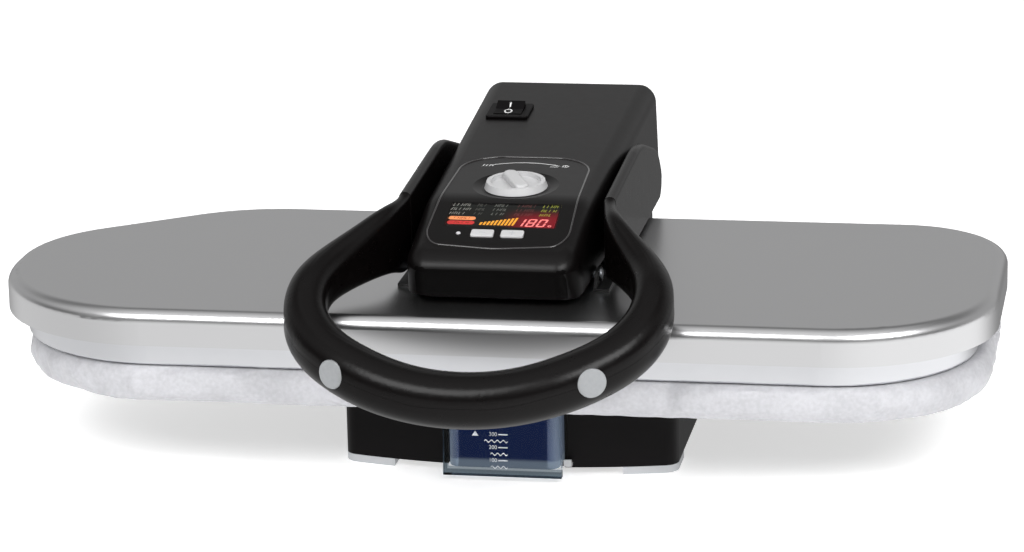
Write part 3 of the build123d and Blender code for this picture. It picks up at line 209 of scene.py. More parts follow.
def moulded_grip_abs():
    """Polished moulded ABS of the grip: the same black with tighter, brighter reflections."""
    return finished(
        "moulded_grip_abs",
        "#060404",
        (8, 0.26, 0.30),
        relief=(1.6, 0.002),
        IOR=1.54,
        Specular_IOR_Level=0.17,
    )


def panel_abs():
    """Panel ABS with a finer mould texture than the housing, a touch glossier."""
    return finished(
        "panel_abs",
        "#060404",
        (7, 0.28, 0.32),
        relief=(0.9, 0.002),
        IOR=1.54,
        Specular_IOR_Level=0.22,
    )


def polished_abs():
    """Polished bead round the panel: black lightened to dark grey as a painted highlight along the
    bead, and bright where it turns to the light.
    """
    return finished("polished_abs", "#2b2829", (5, 0.16, 0.22), IOR=1.54, Coat_Weight=1.0)


def frosted_epoxy():
    """Frosted epoxy of the status lamp: milky grey and dull."""
    return finished("frosted_epoxy", "#c6c4c8", (1, 0.28, 0.36), IOR=1.5)


def white_abs():
    """White moulded ABS: bright and slightly glossy, with soft shading in its recesses."""
    return finished("white_abs", "#c4c4c5", (5, 0.30, 0.36), relief=(0.7, 0.005), IOR=1.54)


def silver_grey_abs():
    """Silver-grey moulded ABS of the screw caps: pale, satin and faintly mottled."""
    return finished(
        "silver_grey_abs", "#8b8d8f", (4, 0.34, 0.42), (2.5, "#848688", "#929496"), IOR=1.54
    )


def grey_rubber():
    """Light grey thermoplastic rubber: dull and soft-edged."""
    return finished("grey_rubber", "#c9cbce", (4, 0.62, 0.74), relief=(0.9, 0.02), IOR=1.5)


def black_rubber():
    """Black rubber of the cord gland: dull, with a greyish bloom."""
    return finished("black_rubber", "#1b1b1c", (4, 0.60, 0.72), relief=(0.9, 0.02), IOR=1.5)


def zinc_plated_steel():
    """Zinc plated steel: cool grey with small cloudy spangles."""
    return finished(
        "zinc_plated_steel", "#a9adb2", (3, 0.30, 0.42), (2, "#9a9ea3", "#b8bcc1"), Metallic=1.0
    )


def black_painted_steel():
    """Black powder coated steel: matt with a pebbled skin."""
    return finished("black_painted_steel", "#191919", (4, 0.48, 0.58), relief=(1.1, 0.03), IOR=1.5)


def sintered_bronze():
    """Sintered bronze bushes: brown-gold metal with open pores."""
    return finished(
        "sintered_bronze", "#a67a43", (0.8, 0.38, 0.52), relief=(0.5, 0.02), Metallic=1.0
    )


def heater_sheath():
    """Oxidised steel sheath of the heating element: dark and patchy."""
    return finished(
        "heater_sheath", "#4a4644", (5, 0.42, 0.56), (12, "#3c3836", "#5d5651"), Metallic=1.0
    )


def smoked_acrylic():
    """Smoked acrylic of the display window: dark tinted and clear."""
    return finished(
        "smoked_acrylic", "#b6b0b0", (10, 0.01, 0.03), IOR=1.3, Transmission_Weight=1.0
    )


def printed_ink(name, hex_colour):
    """Screen-printed ink: flat and matt, slightly uneven at its edges."""
    return finished(name, hex_colour, (1.5, 0.50, 0.62))


def clear_styrene():
    """Clear polished styrene: see-through, with a grey-blue tint along its lower and left edges."""
    material = finished(
        "clear_styrene", "#f2f6fa", (10, 0.02, 0.05), IOR=1.16, Transmission_Weight=1.0
    )
    tree = material.node_tree
    place = add_node(tree, "ShaderNodeTexCoord").outputs["Object"]
    axes = add_node(tree, "ShaderNodeSeparateXYZ", {"Vector": place})
    # The tint starts where the tank behind the window ends, and stands for a ledge there
    tank_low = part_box("tank_body")[0]
    soft_edge = 0.6 * MM
    past = []
    for axis, edge in (("Z", tank_low.z), ("X", tank_low.x)):
        inputs = {"Value": axes.outputs[axis], "From Min": edge + soft_edge, "From Max": edge}
        past.append(add_node(tree, "ShaderNodeMapRange", inputs).outputs["Result"])
    inputs = {0: past[0], 1: past[1]}
    backed = add_node(tree, "ShaderNodeMath", inputs, operation="MAXIMUM").outputs["Value"]
    inputs = {"Factor": backed, "A": (*linear("#f2f6fa"), 1), "B": (*linear("#66727a"), 1)}
    tint = add_node(tree, "ShaderNodeMix", inputs, data_type="RGBA").outputs["Result"]
    tree.links.new(tint, tree.nodes["Principled BSDF"].inputs["Base Color"])
    return material


def blue_styrene():
    """Translucent dark blue styrene with painted light: its side walls and the front of its floor are
    painted paler and made to glow, as light passing through them would.
    """
    material = finished(
        "blue_styrene", "#14224a", (6, 0.30, 0.38), IOR=1.55, Specular_IOR_Level=0.2
    )
    tree = material.node_tree
    shader = tree.nodes["Principled BSDF"]
    low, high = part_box("tank_body")
    half = (high.x - low.x) / 2
    place = add_node(tree, "ShaderNodeTexCoord").outputs["Object"]
    axes = add_node(tree, "ShaderNodeSeparateXYZ", {"Vector": place})
    inputs = {0: axes.outputs["X"], 1: (low.x + high.x) / 2}
    off_middle = add_node(tree, "ShaderNodeMath", inputs, operation="SUBTRACT").outputs["Value"]
    aside = add_node(tree, "ShaderNodeMath", {0: off_middle}, operation="ABSOLUTE").outputs["Value"]
    near = []
    # Painted light: how far the paler, glowing tint reaches near the side walls and the front of the
    # floor
    for value, start, end, most in (
        (aside, half - 9 * MM, half - 1 * MM, 0.62),
        (axes.outputs["Z"], low.z + 7 * MM, low.z + 4 * MM, 1.0),
        (axes.outputs["Y"], low.y + 105 * MM, low.y + 70 * MM, 1.0),
    ):
        inputs = {"Value": value, "From Min": start, "From Max": end, "To Max": most}
        ramp = add_node(tree, "ShaderNodeMapRange", inputs, interpolation_type="SMOOTHSTEP")
        near.append(ramp.outputs["Result"])
    near_side, near_floor, near_front = near
    inputs = {0: near_front, 1: near_floor}
    lit_floor = add_node(tree, "ShaderNodeMath", inputs, operation="MULTIPLY").outputs["Value"]
    inputs = {0: near_side, 1: lit_floor}
    painted_light_share = add_node(tree, "ShaderNodeMath", inputs, operation="MAXIMUM").outputs["Value"]
    inputs = {"Factor": painted_light_share, "A": (*linear("#15244c"), 1), "B": (*linear("#6d7884"), 1)}
    tint = add_node(tree, "ShaderNodeMix", inputs, data_type="RGBA").outputs["Result"]
    # Painted light: the tank glows in this tint, paler near its side walls and floor, standing in for
    # light that its translucent walls take in outside
    for socket in ("Base Color", "Emission Color"):
        tree.links.new(tint, shader.inputs[socket])
    shader.inputs["Emission Strength"].default_value = 0.55
    return material


def display_glow():
    """Printed display ground: near black, with the red of the lit digits bleeding round them."""
    material, tree, shader = start_material(
        "display_glow", linear("#101412"), Roughness=0.5, Emission_Strength=0.75
    )
    place = add_node(tree, "ShaderNodeTexCoord").outputs["Object"]
    axes = add_node(tree, "ShaderNodeSeparateXYZ", {"Vector": place})
    shares = []
    for axis, start, end in (("X", -2, 18), ("Y", 11, -4)):
        inputs = {"Value": axes.outputs[axis], "From Min": start * MM, "From Max": end * MM}
        ramp = add_node(tree, "ShaderNodeMapRange", inputs, interpolation_type="SMOOTHSTEP")
        shares.append(ramp.outputs["Result"])
    inputs = {0: shares[0], 1: shares[1]}
    lit = add_node(tree, "ShaderNodeMath", inputs, operation="MULTIPLY").outputs["Value"]
    inputs = {"Factor": lit, "A": (*linear("#1c201d"), 1), "B": (*linear("#b01028"), 1)}
    glow = add_node(tree, "ShaderNodeMix", inputs, data_type="RGBA").outputs["Result"]
    tree.links.new(glow, shader.inputs["Emission Color"])
    return material


def lit_segment(name, hex_colour, strength):
    """Lit part of the display: coloured light with a slightly uneven glow."""
    colour = linear(hex_colour)
    material, tree, shader = start_material(
        name, colour, Roughness=0.5, Emission_Color=(*colour, 1)
    )
    place = add_node(tree, "ShaderNodeTexCoord").outputs["Object"]
    inputs = {"Vector": place, "Scale": 1 / (3 * MM), "Detail": GRAIN_DETAIL}
    grain = add_node(tree, "ShaderNodeTexNoise", inputs).outputs["Fac"]
    inputs = {"Value": grain, "To Min": strength * 0.8, "To Max": strength * 1.2}
    glow = add_node(tree, "ShaderNodeMapRange", inputs).outputs["Result"]
    tree.links.new(glow, shader.inputs["Emission Strength"])
    return material


def metallised_cotton():
    """Woven cotton board cover with a silvery heat-reflecting coat: pale grey and mottled."""
    looks = bpy.context.scene.press_board
    material, tree, shader = start_material(
        "metallised_cotton", looks.cover_colour, Sheen_Weight=0.2, Sheen_Roughness=0.4
    )
    place = add_node(tree, "ShaderNodeTexCoord").outputs["Object"]
    grains = []
    for size_mm, detail in ((26, 4.0), (2.6, 2.0), (3, GRAIN_DETAIL)):
        inputs = {"Vector": place, "Scale": 1 / (size_mm * MM), "Detail": detail}
        grains.append(add_node(tree, "ShaderNodeTexNoise", inputs).outputs["Fac"])
    blotches, fibres, coat = grains
    inputs = {0: blotches, 1: fibres}
    mottle = add_node(tree, "ShaderNodeMath", inputs, operation="ADD").outputs["Value"]
    inputs = {"Value": mottle, "From Min": 0.72, "From Max": 1.28}
    steeper = add_node(tree, "ShaderNodeMapRange", inputs).outputs["Result"]
    dark = [c * 0.84 for c in looks.cover_colour]
    inputs = {"Factor": steeper, "A": (*dark, 1), "B": (*looks.cover_colour, 1)}
    colour = add_node(tree, "ShaderNodeMix", inputs, data_type="RGBA").outputs["Result"]
    inputs = {"Value": coat, "To Min": 0.55, "To Max": 0.72}
    roughness = add_node(tree, "ShaderNodeMapRange", inputs).outputs["Result"]
    # The real threads are half as far apart and would not show
    scale = 1 / (looks.thread_spacing * 20)
    relief = steeper
    for direction in ("X", "Y", "Z"):
        inputs = {"Vector": place, "Scale": scale, "Distortion": 1.5, "Detail": 1.0}
        threads = add_node(tree, "ShaderNodeTexWave", inputs, bands_direction=direction)
        inputs = {0: relief, 1: threads.outputs["Fac"]}
        relief = add_node(tree, "ShaderNodeMath", inputs, operation="ADD").outputs["Value"]
    inputs = {"Height": relief, "Strength": 1.0, "Distance": 0.05 * MM}
    bump = add_node(tree, "ShaderNodeBump", inputs).outputs["Normal"]
    for socket, made in (("Base Color", colour), ("Roughness", roughness), ("Normal", bump)):
        tree.links.new(made, shader.inputs[socket])
    return material


def added(name, data):
    """New object of the scene for some data."""
    made = bpy.data.objects.new(name, data)
    bpy.context.scene.collection.objects.link(made)
    return made


def dress(material, *nodes):
    """Give CAD nodes a finish."""
    for name in nodes:
        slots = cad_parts[name].data.materials
        slots.clear()
        slots.append(material)


def reached_forward(co):
    """Where a point of the housing goes when its front lip is drawn out along its slope."""
    if abs(co.x - LIP_MIDDLE) < LIP_KEYS_HALF and co.y > LIP_KEYS_FRONT:
        return co
    behind, ahead = max(LIP_START - co.y, 0), max(LIP_PANEL_FRONT - co.y, 0)
    run = LIP_START - LIP_PANEL_FRONT
    reach = LIP_PANEL_REACH * min(behind / run, 1)
    reach += (LIP_REACH - LIP_PANEL_REACH) * min(ahead / LIP_LAND, 1)
    reach *= min(max((co.z - LIP_FOOT) / LIP_RISE, 0), 1)
    return co + reach * Vector((0, -cos(FRONT_SLOPE), -sin(FRONT_SLOPE)))


def redrawn(node, material, body, move):
    """Piece that stands for a CAD node, with each of its points moved."""
    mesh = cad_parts[node].data.copy()
    mesh.name = f"{node}_drawn"
    for vertex in mesh.vertices:
        vertex.co = move(vertex.co.copy())
    if "custom_normal" in mesh.attributes:
        mesh.attributes.remove(mesh.attributes["custom_normal"])
    mesh.materials.clear()
    mesh.materials.append(material)
    piece = added(f"{node}_drawn", mesh)
    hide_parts(node)
    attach(piece, body)
    return piece


# Thin raised pieces: print, lit segments and marks laid on a plane


def plane_at(origin, tilt, lift=0.0):
    """Frame on a surface that rises rearwards by tilt: X across, Y up the slope, Z out by lift."""
    up = Vector((0, cos(tilt), sin(tilt)))
    outward = Vector((0, -sin(tilt), cos(tilt)))
    matrix = Matrix((Vector((1, 0, 0)), up, outward)).transposed().to_4x4()
    matrix.translation = origin + outward * lift
    return matrix


def laid(name, mesh, place, material, body):
    """Make a thin mesh into a piece that lies on a plane and rides on a body."""
    piece = added(name, mesh)
    piece.matrix_world = place
    mesh.materials.clear()
    mesh.materials.append(material)
    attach(piece, body)


def raised_shapes(name, shapes, place, material, body):
    """One thin piece of several flat shapes, each a list of corner points in millimetres."""
    mesh = bpy.data.meshes.new(name)
    shape_mesh = bmesh.new()
    for shape in shapes:
        lower, upper = (
            [shape_mesh.verts.new((x * MM, y * MM, z)) for x, y in shape]
            for z in (0, PRINT_THICKNESS)
        )
        shape_mesh.faces.new(upper)
        shape_mesh.faces.new(lower[::-1])
        for i, corner in enumerate(lower):
            after = (i + 1) % len(lower)
            shape_mesh.faces.new((corner, lower[after], upper[after], upper[i]))
    bmesh.ops.recalc_face_normals(shape_mesh, faces=shape_mesh.faces)
    shape_mesh.to_mesh(mesh)
    shape_mesh.free()
    laid(name, mesh, place, material, body)


def bar(x, y, width, height, slant=0.0):
    """Upright bar round a centre, leaning by slant at its top."""
    w, h = width / 2, height / 2
    return [(x - w, y - h), (x + w, y - h), (x + w + slant, y + h), (x - w + slant, y + h)]


def pill(x, y, width, height):
    """Bar with round ends."""
    radius = min(width, height) / 2
    points = []
    for i in range(16):
        angle = 2 * pi * (i + 0.5) / 16
        side = (width / 2 - radius) * (1 if cos(angle) > 0 else -1)
        rise = (height / 2 - radius) * (1 if sin(angle) > 0 else -1)
        points.append((x + side + radius * cos(angle), y + rise + radius * sin(angle)))
    return points


def ring_sector(x, y, inner, outer, start, end, steps, squeeze=1.0):
    """Strips that make up a stretch of ring between two angles."""
    strips = []
    for i in range(steps):
        a = start + (end - start) * i / steps
        b = start + (end - start) * (i + 1) / steps
        strips.append(
            [
                (x + radius * cos(angle), y + squeeze * radius * sin(angle))
                for radius, angle in ((inner, a), (outer, a), (outer, b), (inner, b))
            ]
        )
    return strips


def wave(left, right, y, crests, height, stroke):
    """Strips of a wavy water line."""
    strips = []
    steps = crests * 8

    def point(i):
        return left + (right - left) * i / steps, y + height / 2 * sin(2 * pi * crests * i / steps)

    for i in range(steps):
        (x0, y0), (x1, y1) = point(i), point(i + 1)
        low, high = -stroke / 2, stroke / 2
        strips.append([(x0, y0 + low), (x1, y1 + low), (x1, y1 + high), (x0, y0 + high)])
    return strips


def word_strokes(left, right, y, height, seed):
    """Upright and level strokes in a row the length of a word; they spell nothing."""
    shapes = []
    pitch = 2.6
    count = max(2, round((right - left) / pitch))
    slant = height * 0.3
    for i in range(count):
        x = left + (right - left) * (i + 0.3) / count
        kind = (i * 5 + seed * 3) % 4
        shapes.append(bar(x, y, 0.42, height, slant))
        if kind != 1:
            rise = (-0.42, 0.0, 0.0, 0.42)[kind] * height
            shapes.append(bar(x + 0.8 + rise * 0.3, y + rise, 1.2, 0.4))
        if kind > 1:
            shapes.append(bar(x + 1.5, y, 0.4, height * 0.9, slant))
    return shapes


SEGMENTS = {"0": "abcdef", "1": "bc", "8": "abcdefg"}


def seven_segment(digit, x, y, width, height, stroke, slant):
    """Shapes of one seven-segment digit, leaning to the right."""
    lean = slant / height
    half = height / 2

    def leaning(left, right, low, high):
        corners = ((left, low), (right, low), (right, high), (left, high))
        return [(side + lean * (rise - y), rise) for side, rise in corners]

    def across(rise):
        reach = width / 2 - stroke * 0.7
        return leaning(x - reach, x + reach, y + rise - stroke / 2, y + rise + stroke / 2)

    def upright(side, middle):
        edges = sorted((x + side * (width / 2 - stroke), x + side * width / 2))
        reach = half / 2 - stroke * 0.35
        return leaning(*edges, y + middle - reach, y + middle + reach)

    shapes = {
        "a": across(half - stroke / 2),
        "d": across(-half + stroke / 2),
        "g": across(0),
        "b": upright(1, half / 2),
        "c": upright(1, -half / 2),
        "f": upright(-1, half / 2),
        "e": upright(-1, -half / 2),
    }
    return [shapes[part] for part in SEGMENTS[digit]]


def raised_words(name, words, height_mm, place, material, body):
    """Plain numbers as one thin printed piece."""
    curve = bpy.data.curves.new(name, "FONT")
    curve.body = words
    curve.size = height_mm * MM
    curve.extrude = PRINT_THICKNESS / 2
    curve.align_x = "RIGHT"
    curve.align_y = "CENTER"
    text = added(name + "_text", curve)
    mesh = bpy.data.meshes.new_from_object(text)
    bpy.data.objects.remove(text)
    mesh.name = name
    laid(name, mesh, place, material, body)


# Properties


class PressBoardProperties(bpy.types.PropertyGroup):
    """Padded board cover."""

    cover_colour: bpy.props.FloatVectorProperty(
        name="Cover colour",
        description="Colour of the woven board cover",
        subtype="COLOR",
        size=3,
        min=0,
        max=1,
        default=linear("#bcbcc0"),
    )
    thread_spacing: bpy.props.FloatProperty(
        name="Thread spacing",
        description="Distance between the threads that show in the cover",
        unit="LENGTH",
        default=1.1 * MM,
        min=0.2 * MM,
    )
    mesh_size: bpy.props.FloatProperty(
        name="Mesh size",
        description="Size of the cover's faces before it is padded out",
        unit="LENGTH",
        default=5 * MM,
        min=2 * MM,
    )
    swell: bpy.props.FloatProperty(
        name="Swell",
        description="How far the padding may push the cover out",
        unit="LENGTH",
        default=2.6 * MM,
        min=0,
    )


class PressStageProperties(bpy.types.PropertyGroup):
    """Camera and studio."""

    azimuth: bpy.props.FloatProperty(
        name="Azimuth",
        description="Camera's turn to the right of straight ahead",
        subtype="ANGLE",
        default=radians(10.3),
    )
    elevation: bpy.props.FloatProperty(
        name="Elevation",
        description="Camera's height above the horizon",
        subtype="ANGLE",
        default=radians(15.8),
    )
    roll: bpy.props.FloatProperty(
        name="Roll",
        description="Camera's turn about its own line of sight",
        subtype="ANGLE",
        default=radians(-1.2),
    )
    distance: bpy.props.FloatProperty(
        name="Distance",
        description="From the camera to the point it looks at",
        unit="LENGTH",
        default=2604.5 * MM,
    )
    target: bpy.props.FloatVectorProperty(
        name="Target",
        description="Point that the camera looks at",
        subtype="TRANSLATION",
        size=3,
        default=(6.39 * MM, 0, 106.1 * MM),
    )
    lens: bpy.props.FloatProperty(
        name="Lens",
        description="Focal length for a 36 mm wide sensor, in millimetres",
        default=140.625,
    )
    floor_colour: bpy.props.FloatVectorProperty(
        name="Floor colour",
        description="Colour of the studio floor",
        subtype="COLOR",
        size=3,
        min=0,
        max=1,
        default=linear("#f0f0f0"),
    )
    floor_glow: bpy.props.FloatProperty(
        name="Floor glow",
        description="Light that the floor gives off by itself, as on a light table",
        default=0.60,
        min=0,
    )


# Operators


class PRESS_OT_plate(bpy.types.Operator):
    """Finish the pressing plate: lacquered cover, machined sole and what lies between."""

    bl_idname = "press.plate"
    bl_label = "Pressing plate"

    def execute(self, context):
        dress(silver_lacquered_steel(), "platen_cover")
        dress(machined_aluminium(), "heating_plate", "heat_shield", "steam_chamber")
        dress(heater_sheath(), "heating_element")
        dress(white_abs(), "thermostat")
        dress(black_painted_steel(), "platen_brackets")
        dress(zinc_plated_steel(), "platen_pivots")
        return {"FINISHED"}


class PRESS_OT_board(bpy.types.Operator):
    """Make the padded board cover by swelling a cloth over the board's form."""

    bl_idname = "press.board"
    bl_label = "Padded board"

    def execute(self, context):
        looks = context.scene.press_board
        low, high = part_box("board_cover")
        filled = bmesh.new()
        for name in ("board_cover", "board_foam"):
            filled.from_mesh(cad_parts[name].data)
        mesh = bpy.data.meshes.new("padded_cover")
        filled.to_mesh(mesh)
        filled.free()
        cover = added("padded_cover", mesh)
        remesh = cover.modifiers.new("remesh", "REMESH")
        remesh.mode = "VOXEL"
        remesh.voxel_size = looks.mesh_size
        remesh.use_smooth_shade = True
        self.apply(context, cover)
        self.keep_outer(cover)
        self.swell(context, cover, low, high, looks.swell)
        self.clear_tray(cover, low)
        smooth = cover.modifiers.new("subdivide", "SUBSURF")
        smooth.levels = smooth.render_levels = 1
        self.apply(context, cover)
        for face in cover.data.polygons:
            face.use_smooth = True
        cover.data.materials.clear()
        cover.data.materials.append(metallised_cotton())
        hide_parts("board_cover", "board_foam")
        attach(cover, "base")
        dress(black_painted_steel(), "board_tray")
        return {"FINISHED"}

    def apply(self, context, piece):
        """Turn what the modifiers give into the piece's own mesh."""
        context.view_layer.update()
        shown = piece.evaluated_get(context.evaluated_depsgraph_get())
        mesh = bpy.data.meshes.new_from_object(shown)
        piece.modifiers.clear()
        piece.data = mesh

    def clear_tray(self, piece, low):
        """Lift the cover's underside off the steel tray, inside the hem."""
        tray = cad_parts["board_tray"]
        tray_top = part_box("board_tray")[1].z
        near_tray, clearance = 4 * MM, 0.3 * MM
        for v in piece.data.vertices:
            if v.co.z < tray_top + near_tray:
                start = Vector((v.co.x, v.co.y, low.z - 1))
                if tray.ray_cast(start, Vector((0, 0, 1)))[0]:
                    v.co.z = max(v.co.z, tray_top + clearance)
                else:
                    v.co.z = max(v.co.z, low.z)

    def keep_outer(self, piece):
        """Drop the inner skin that the remesh leaves round the foam's space."""
        mesh = bmesh.new()
        mesh.from_mesh(piece.data)
        left = set(mesh.verts)
        islands = []
        while left:
            stack = [left.pop()]
            island = set(stack)
            while stack:
                vertex = stack.pop()
                for edge in vertex.link_edges:
                    other = edge.other_vert(vertex)
                    if other in left:
                        left.discard(other)
                        island.add(other)
                        stack.append(other)
            islands.append(island)
        islands.sort(key=len)
        for island in islands[:-1]:
            bmesh.ops.delete(mesh, geom=list(island), context="VERTS")
        mesh.to_mesh(piece.data)
        mesh.free()

    def swell(self, context, piece, low, high, most):
        """Push the cover's sides out with a cloth simulation and cap how far they go."""
        before = [v.co.copy() for v in piece.data.vertices]
        pinned = piece.vertex_groups.new(name="held")
        held_band, last_frame = 2 * MM, 20
        top, bottom = high.z - held_band, low.z + held_band
        for v in piece.data.vertices:
            if v.co.z > top or v.co.z < bottom:
                pinned.add([v.index], 1.0, "REPLACE")
        cloth = piece.modifiers.new("cloth", "CLOTH")
        cloth.settings.vertex_group_mass = "held"
        cloth.settings.use_pressure = True
        cloth.settings.uniform_pressure_force = 4
        cloth.settings.effector_weights.gravity = 0
        cloth.settings.shrink_min = -0.05
        cloth.settings.quality = 5
        cloth.point_cache.frame_start = 1
        cloth.point_cache.frame_end = last_frame
        for step in range(1, last_frame + 1):
            context.scene.frame_set(step)
        self.apply(context, piece)
        context.scene.frame_set(1)
        for v, start in zip(piece.data.vertices, before):
            moved = v.co - start
            if moved.length > most:
                v.co = start + moved.normalized() * most
            v.co.z = min(v.co.z, high.z)


class PRESS_OT_base(bpy.types.Operator):
    """Finish the base, its feet, the rear column and the hinge inside it."""

    bl_idname = "press.base"
    bl_label = "Base"

    def execute(self, context):
        dress(textured_black_abs(), "base_shell", "column_cover", "valve_seat")
        dress(black_painted_steel(), "base_plate", "chassis")
        dress(zinc_plated_steel(), "base_screws", "hinge_shaft", "pump_clamp")
        dress(grey_rubber(), "front_feet", "rear_feet", "water_hose")
        dress(black_rubber(), "cord_gland")
        dress(white_abs(), "water_pump", "tank_clip")
        return {"FINISHED"}


class PRESS_OT_tank(bpy.types.Operator):
    """Finish the water tank and print its level marks."""

    bl_idname = "press.tank"
    bl_label = "Water tank"

    def execute(self, context):
        dress(blue_styrene(), "tank_body", "tank_lid")
        dress(clear_styrene(), "tank_window")
        dress(white_abs(), "tank_valve")
        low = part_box("tank_window")[0]
        ink = printed_ink("white_print", "#f4f6f8")
        # Marks are measured in millimetres from the window's left and lower edges
        face = plane_at(low, pi / 2 - WINDOW_LEAN, 0.03 * MM)
        right_edge, line_length, number_gap = 41.7, 6.0, 0.8
        lines = []
        for words, rise, wave_start, crests in (
            ("300", 27.6, 26.6, 4),
            ("200", 19.2, 30.6, 3),
            ("100", 10.8, 30.8, 3),
        ):
            lines.append(bar(right_edge - line_length / 2, rise, line_length, 0.75))
            lines += wave(wave_start, right_edge, rise - 4.4, crests, 1.5, 0.7)
            number_end = (right_edge - line_length - number_gap) * MM
            place = face @ Matrix.Translation(Vector((number_end, rise * MM, 0)))
            raised_words(f"level_{words}", words, 3.6, place, ink, "tank")
        fill_limit = [(18.6, 26.4), (23.0, 26.4), (20.8, 29.6)]
        lines.append(fill_limit)
        raised_shapes("level_marks", lines, face, ink, "tank")
        return {"FINISHED"}


class PRESS_OT_arm(bpy.types.Operator):
    """Finish the arm: moulded covers, steel lever, bushes and springs."""

    bl_idname = "press.arm"
    bl_label = "Arm"

    def execute(self, context):
        black = moulded_black_abs()
        dress(black, "arm_lower_cover")
        cover = redrawn("arm_top_cover", black, "arm", reached_forward)
        # Painted shade: the lip's front-facing faces get a darker, matt copy of the black
        cover.data.materials.append(painted_shade_abs())
        for face in cover.data.polygons:
            faces_front = face.normal.y < -0.8 and face.normal.z < 0.3
            if faces_front and face.center.y < LIP_START:
                face.material_index = 1
        dress(black_painted_steel(), "arm_lever")
        dress(sintered_bronze(), "hinge_bushes")
        dress(zinc_plated_steel(), "lift_springs", "handle_pins")
        return {"FINISHED"}


class PRESS_OT_handle(bpy.types.Operator):
    """Finish the loop handle, its screw caps, screws and core."""

    bl_idname = "press.handle"
    bl_label = "Loop handle"

    def execute(self, context):
        dress(moulded_grip_abs(), "handle_upper", "handle_lower")
        dress(silver_grey_abs(), "handle_caps")
        dress(zinc_plated_steel(), "handle_core", "handle_screws")
        return {"FINISHED"}


class PRESS_OT_panel(bpy.types.Operator):
    """Finish the control panel and dial, and print the dial's scale."""

    bl_idname = "press.panel"
    bl_label = "Panel and dial"

    def execute(self, context):
        panel = redrawn("control_panel", panel_abs(), "arm", reached_forward)
        dress(white_abs(), "temperature_knob", "dial_switch")
        self.edge_bead(panel)
        low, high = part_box("temperature_knob")
        panel_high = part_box("control_panel")[1]
        dial_y = -4 * MM
        # The panel falls towards the front from its rear edge
        dial_z = panel_high.z - (panel_high.y - dial_y) * tan(REAR_SLOPE)
        above_panel = 0.10 * MM
        place = plane_at(Vector(((low.x + high.x) / 2, dial_y, dial_z + above_panel)), REAR_SLOPE)
        # All print is measured in millimetres from the dial's middle
        ink = printed_ink("grey_print", "#c8c8c8")
        scale = ring_sector(0, 0, 45.2, 46.3, radians(61), radians(121), 24)
        scale.append(bar(18.6, 38.4, 5.4, 1.1))
        raised_shapes("dial_scale", scale, place, ink, "arm")
        steam = [bar(-28.6 + 2.1 * i, 39.0, 0.8, 3.6, 0.9) for i in range(4)]
        dot = ring_sector(26.0, 40.0, 1.5, 2.3, 0, 2 * pi, 16) + [bar(26.0, 40.0, 0.8, 2.6)]
        raised_shapes("dial_signs", steam + dot, place, ink, "arm")
        return {"FINISHED"}

    def edge_bead(self, panel):
        """Lay a thin polished bead along the panel's outer top edge."""
        touching = 0.01 * MM
        mesh = bmesh.new()
        mesh.from_mesh(panel.data)
        bmesh.ops.remove_doubles(mesh, verts=mesh.verts, dist=touching)
        mesh.edges.index_update()
        rim = {}
        for edge in mesh.edges:
            rises = [face.normal.z for face in edge.link_faces]
            if len(rises) == 2 and min(abs(rise) for rise in rises) < 0.5 and max(rises) > 0.9:
                rim[edge.index] = edge
        # Edges are taken in the order of their numbers, so that each run gives the same bead
        loops = []
        while rim:
            points = list(rim.pop(next(iter(rim))).verts)
            while True:
                after = next((e for e in points[-1].link_edges if e.index in rim), None)
                if after is None:
                    break
                del rim[after.index]
                points.append(after.other_vert(points[-1]))
            loops.append([vertex.co.copy() for vertex in points])
        outer = max(loops, key=lambda loop: max(p.x for p in loop) - min(p.x for p in loop))
        mesh.free()
        if (outer[0] - outer[-1]).length < touching:
            outer.pop()
        curve = bpy.data.curves.new("panel_bead", "CURVE")
        curve.dimensions = "3D"
        curve.bevel_depth = 0.65 * MM
        curve.bevel_resolution = 3
        spline = curve.splines.new("POLY")
        spline.points.add(len(outer) - 1)
        for point, co in zip(spline.points, outer):
            point.co = (*co, 1)
        spline.use_cyclic_u = True
        holder = added("panel_bead_curve", curve)
        made = bpy.data.meshes.new_from_object(holder)
        bpy.data.objects.remove(holder)
        bead = added("panel_bead", made)
        for face in made.polygons:
            face.use_smooth = True
        made.materials.clear()
        made.materials.append(polished_abs())
        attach(bead, "arm")


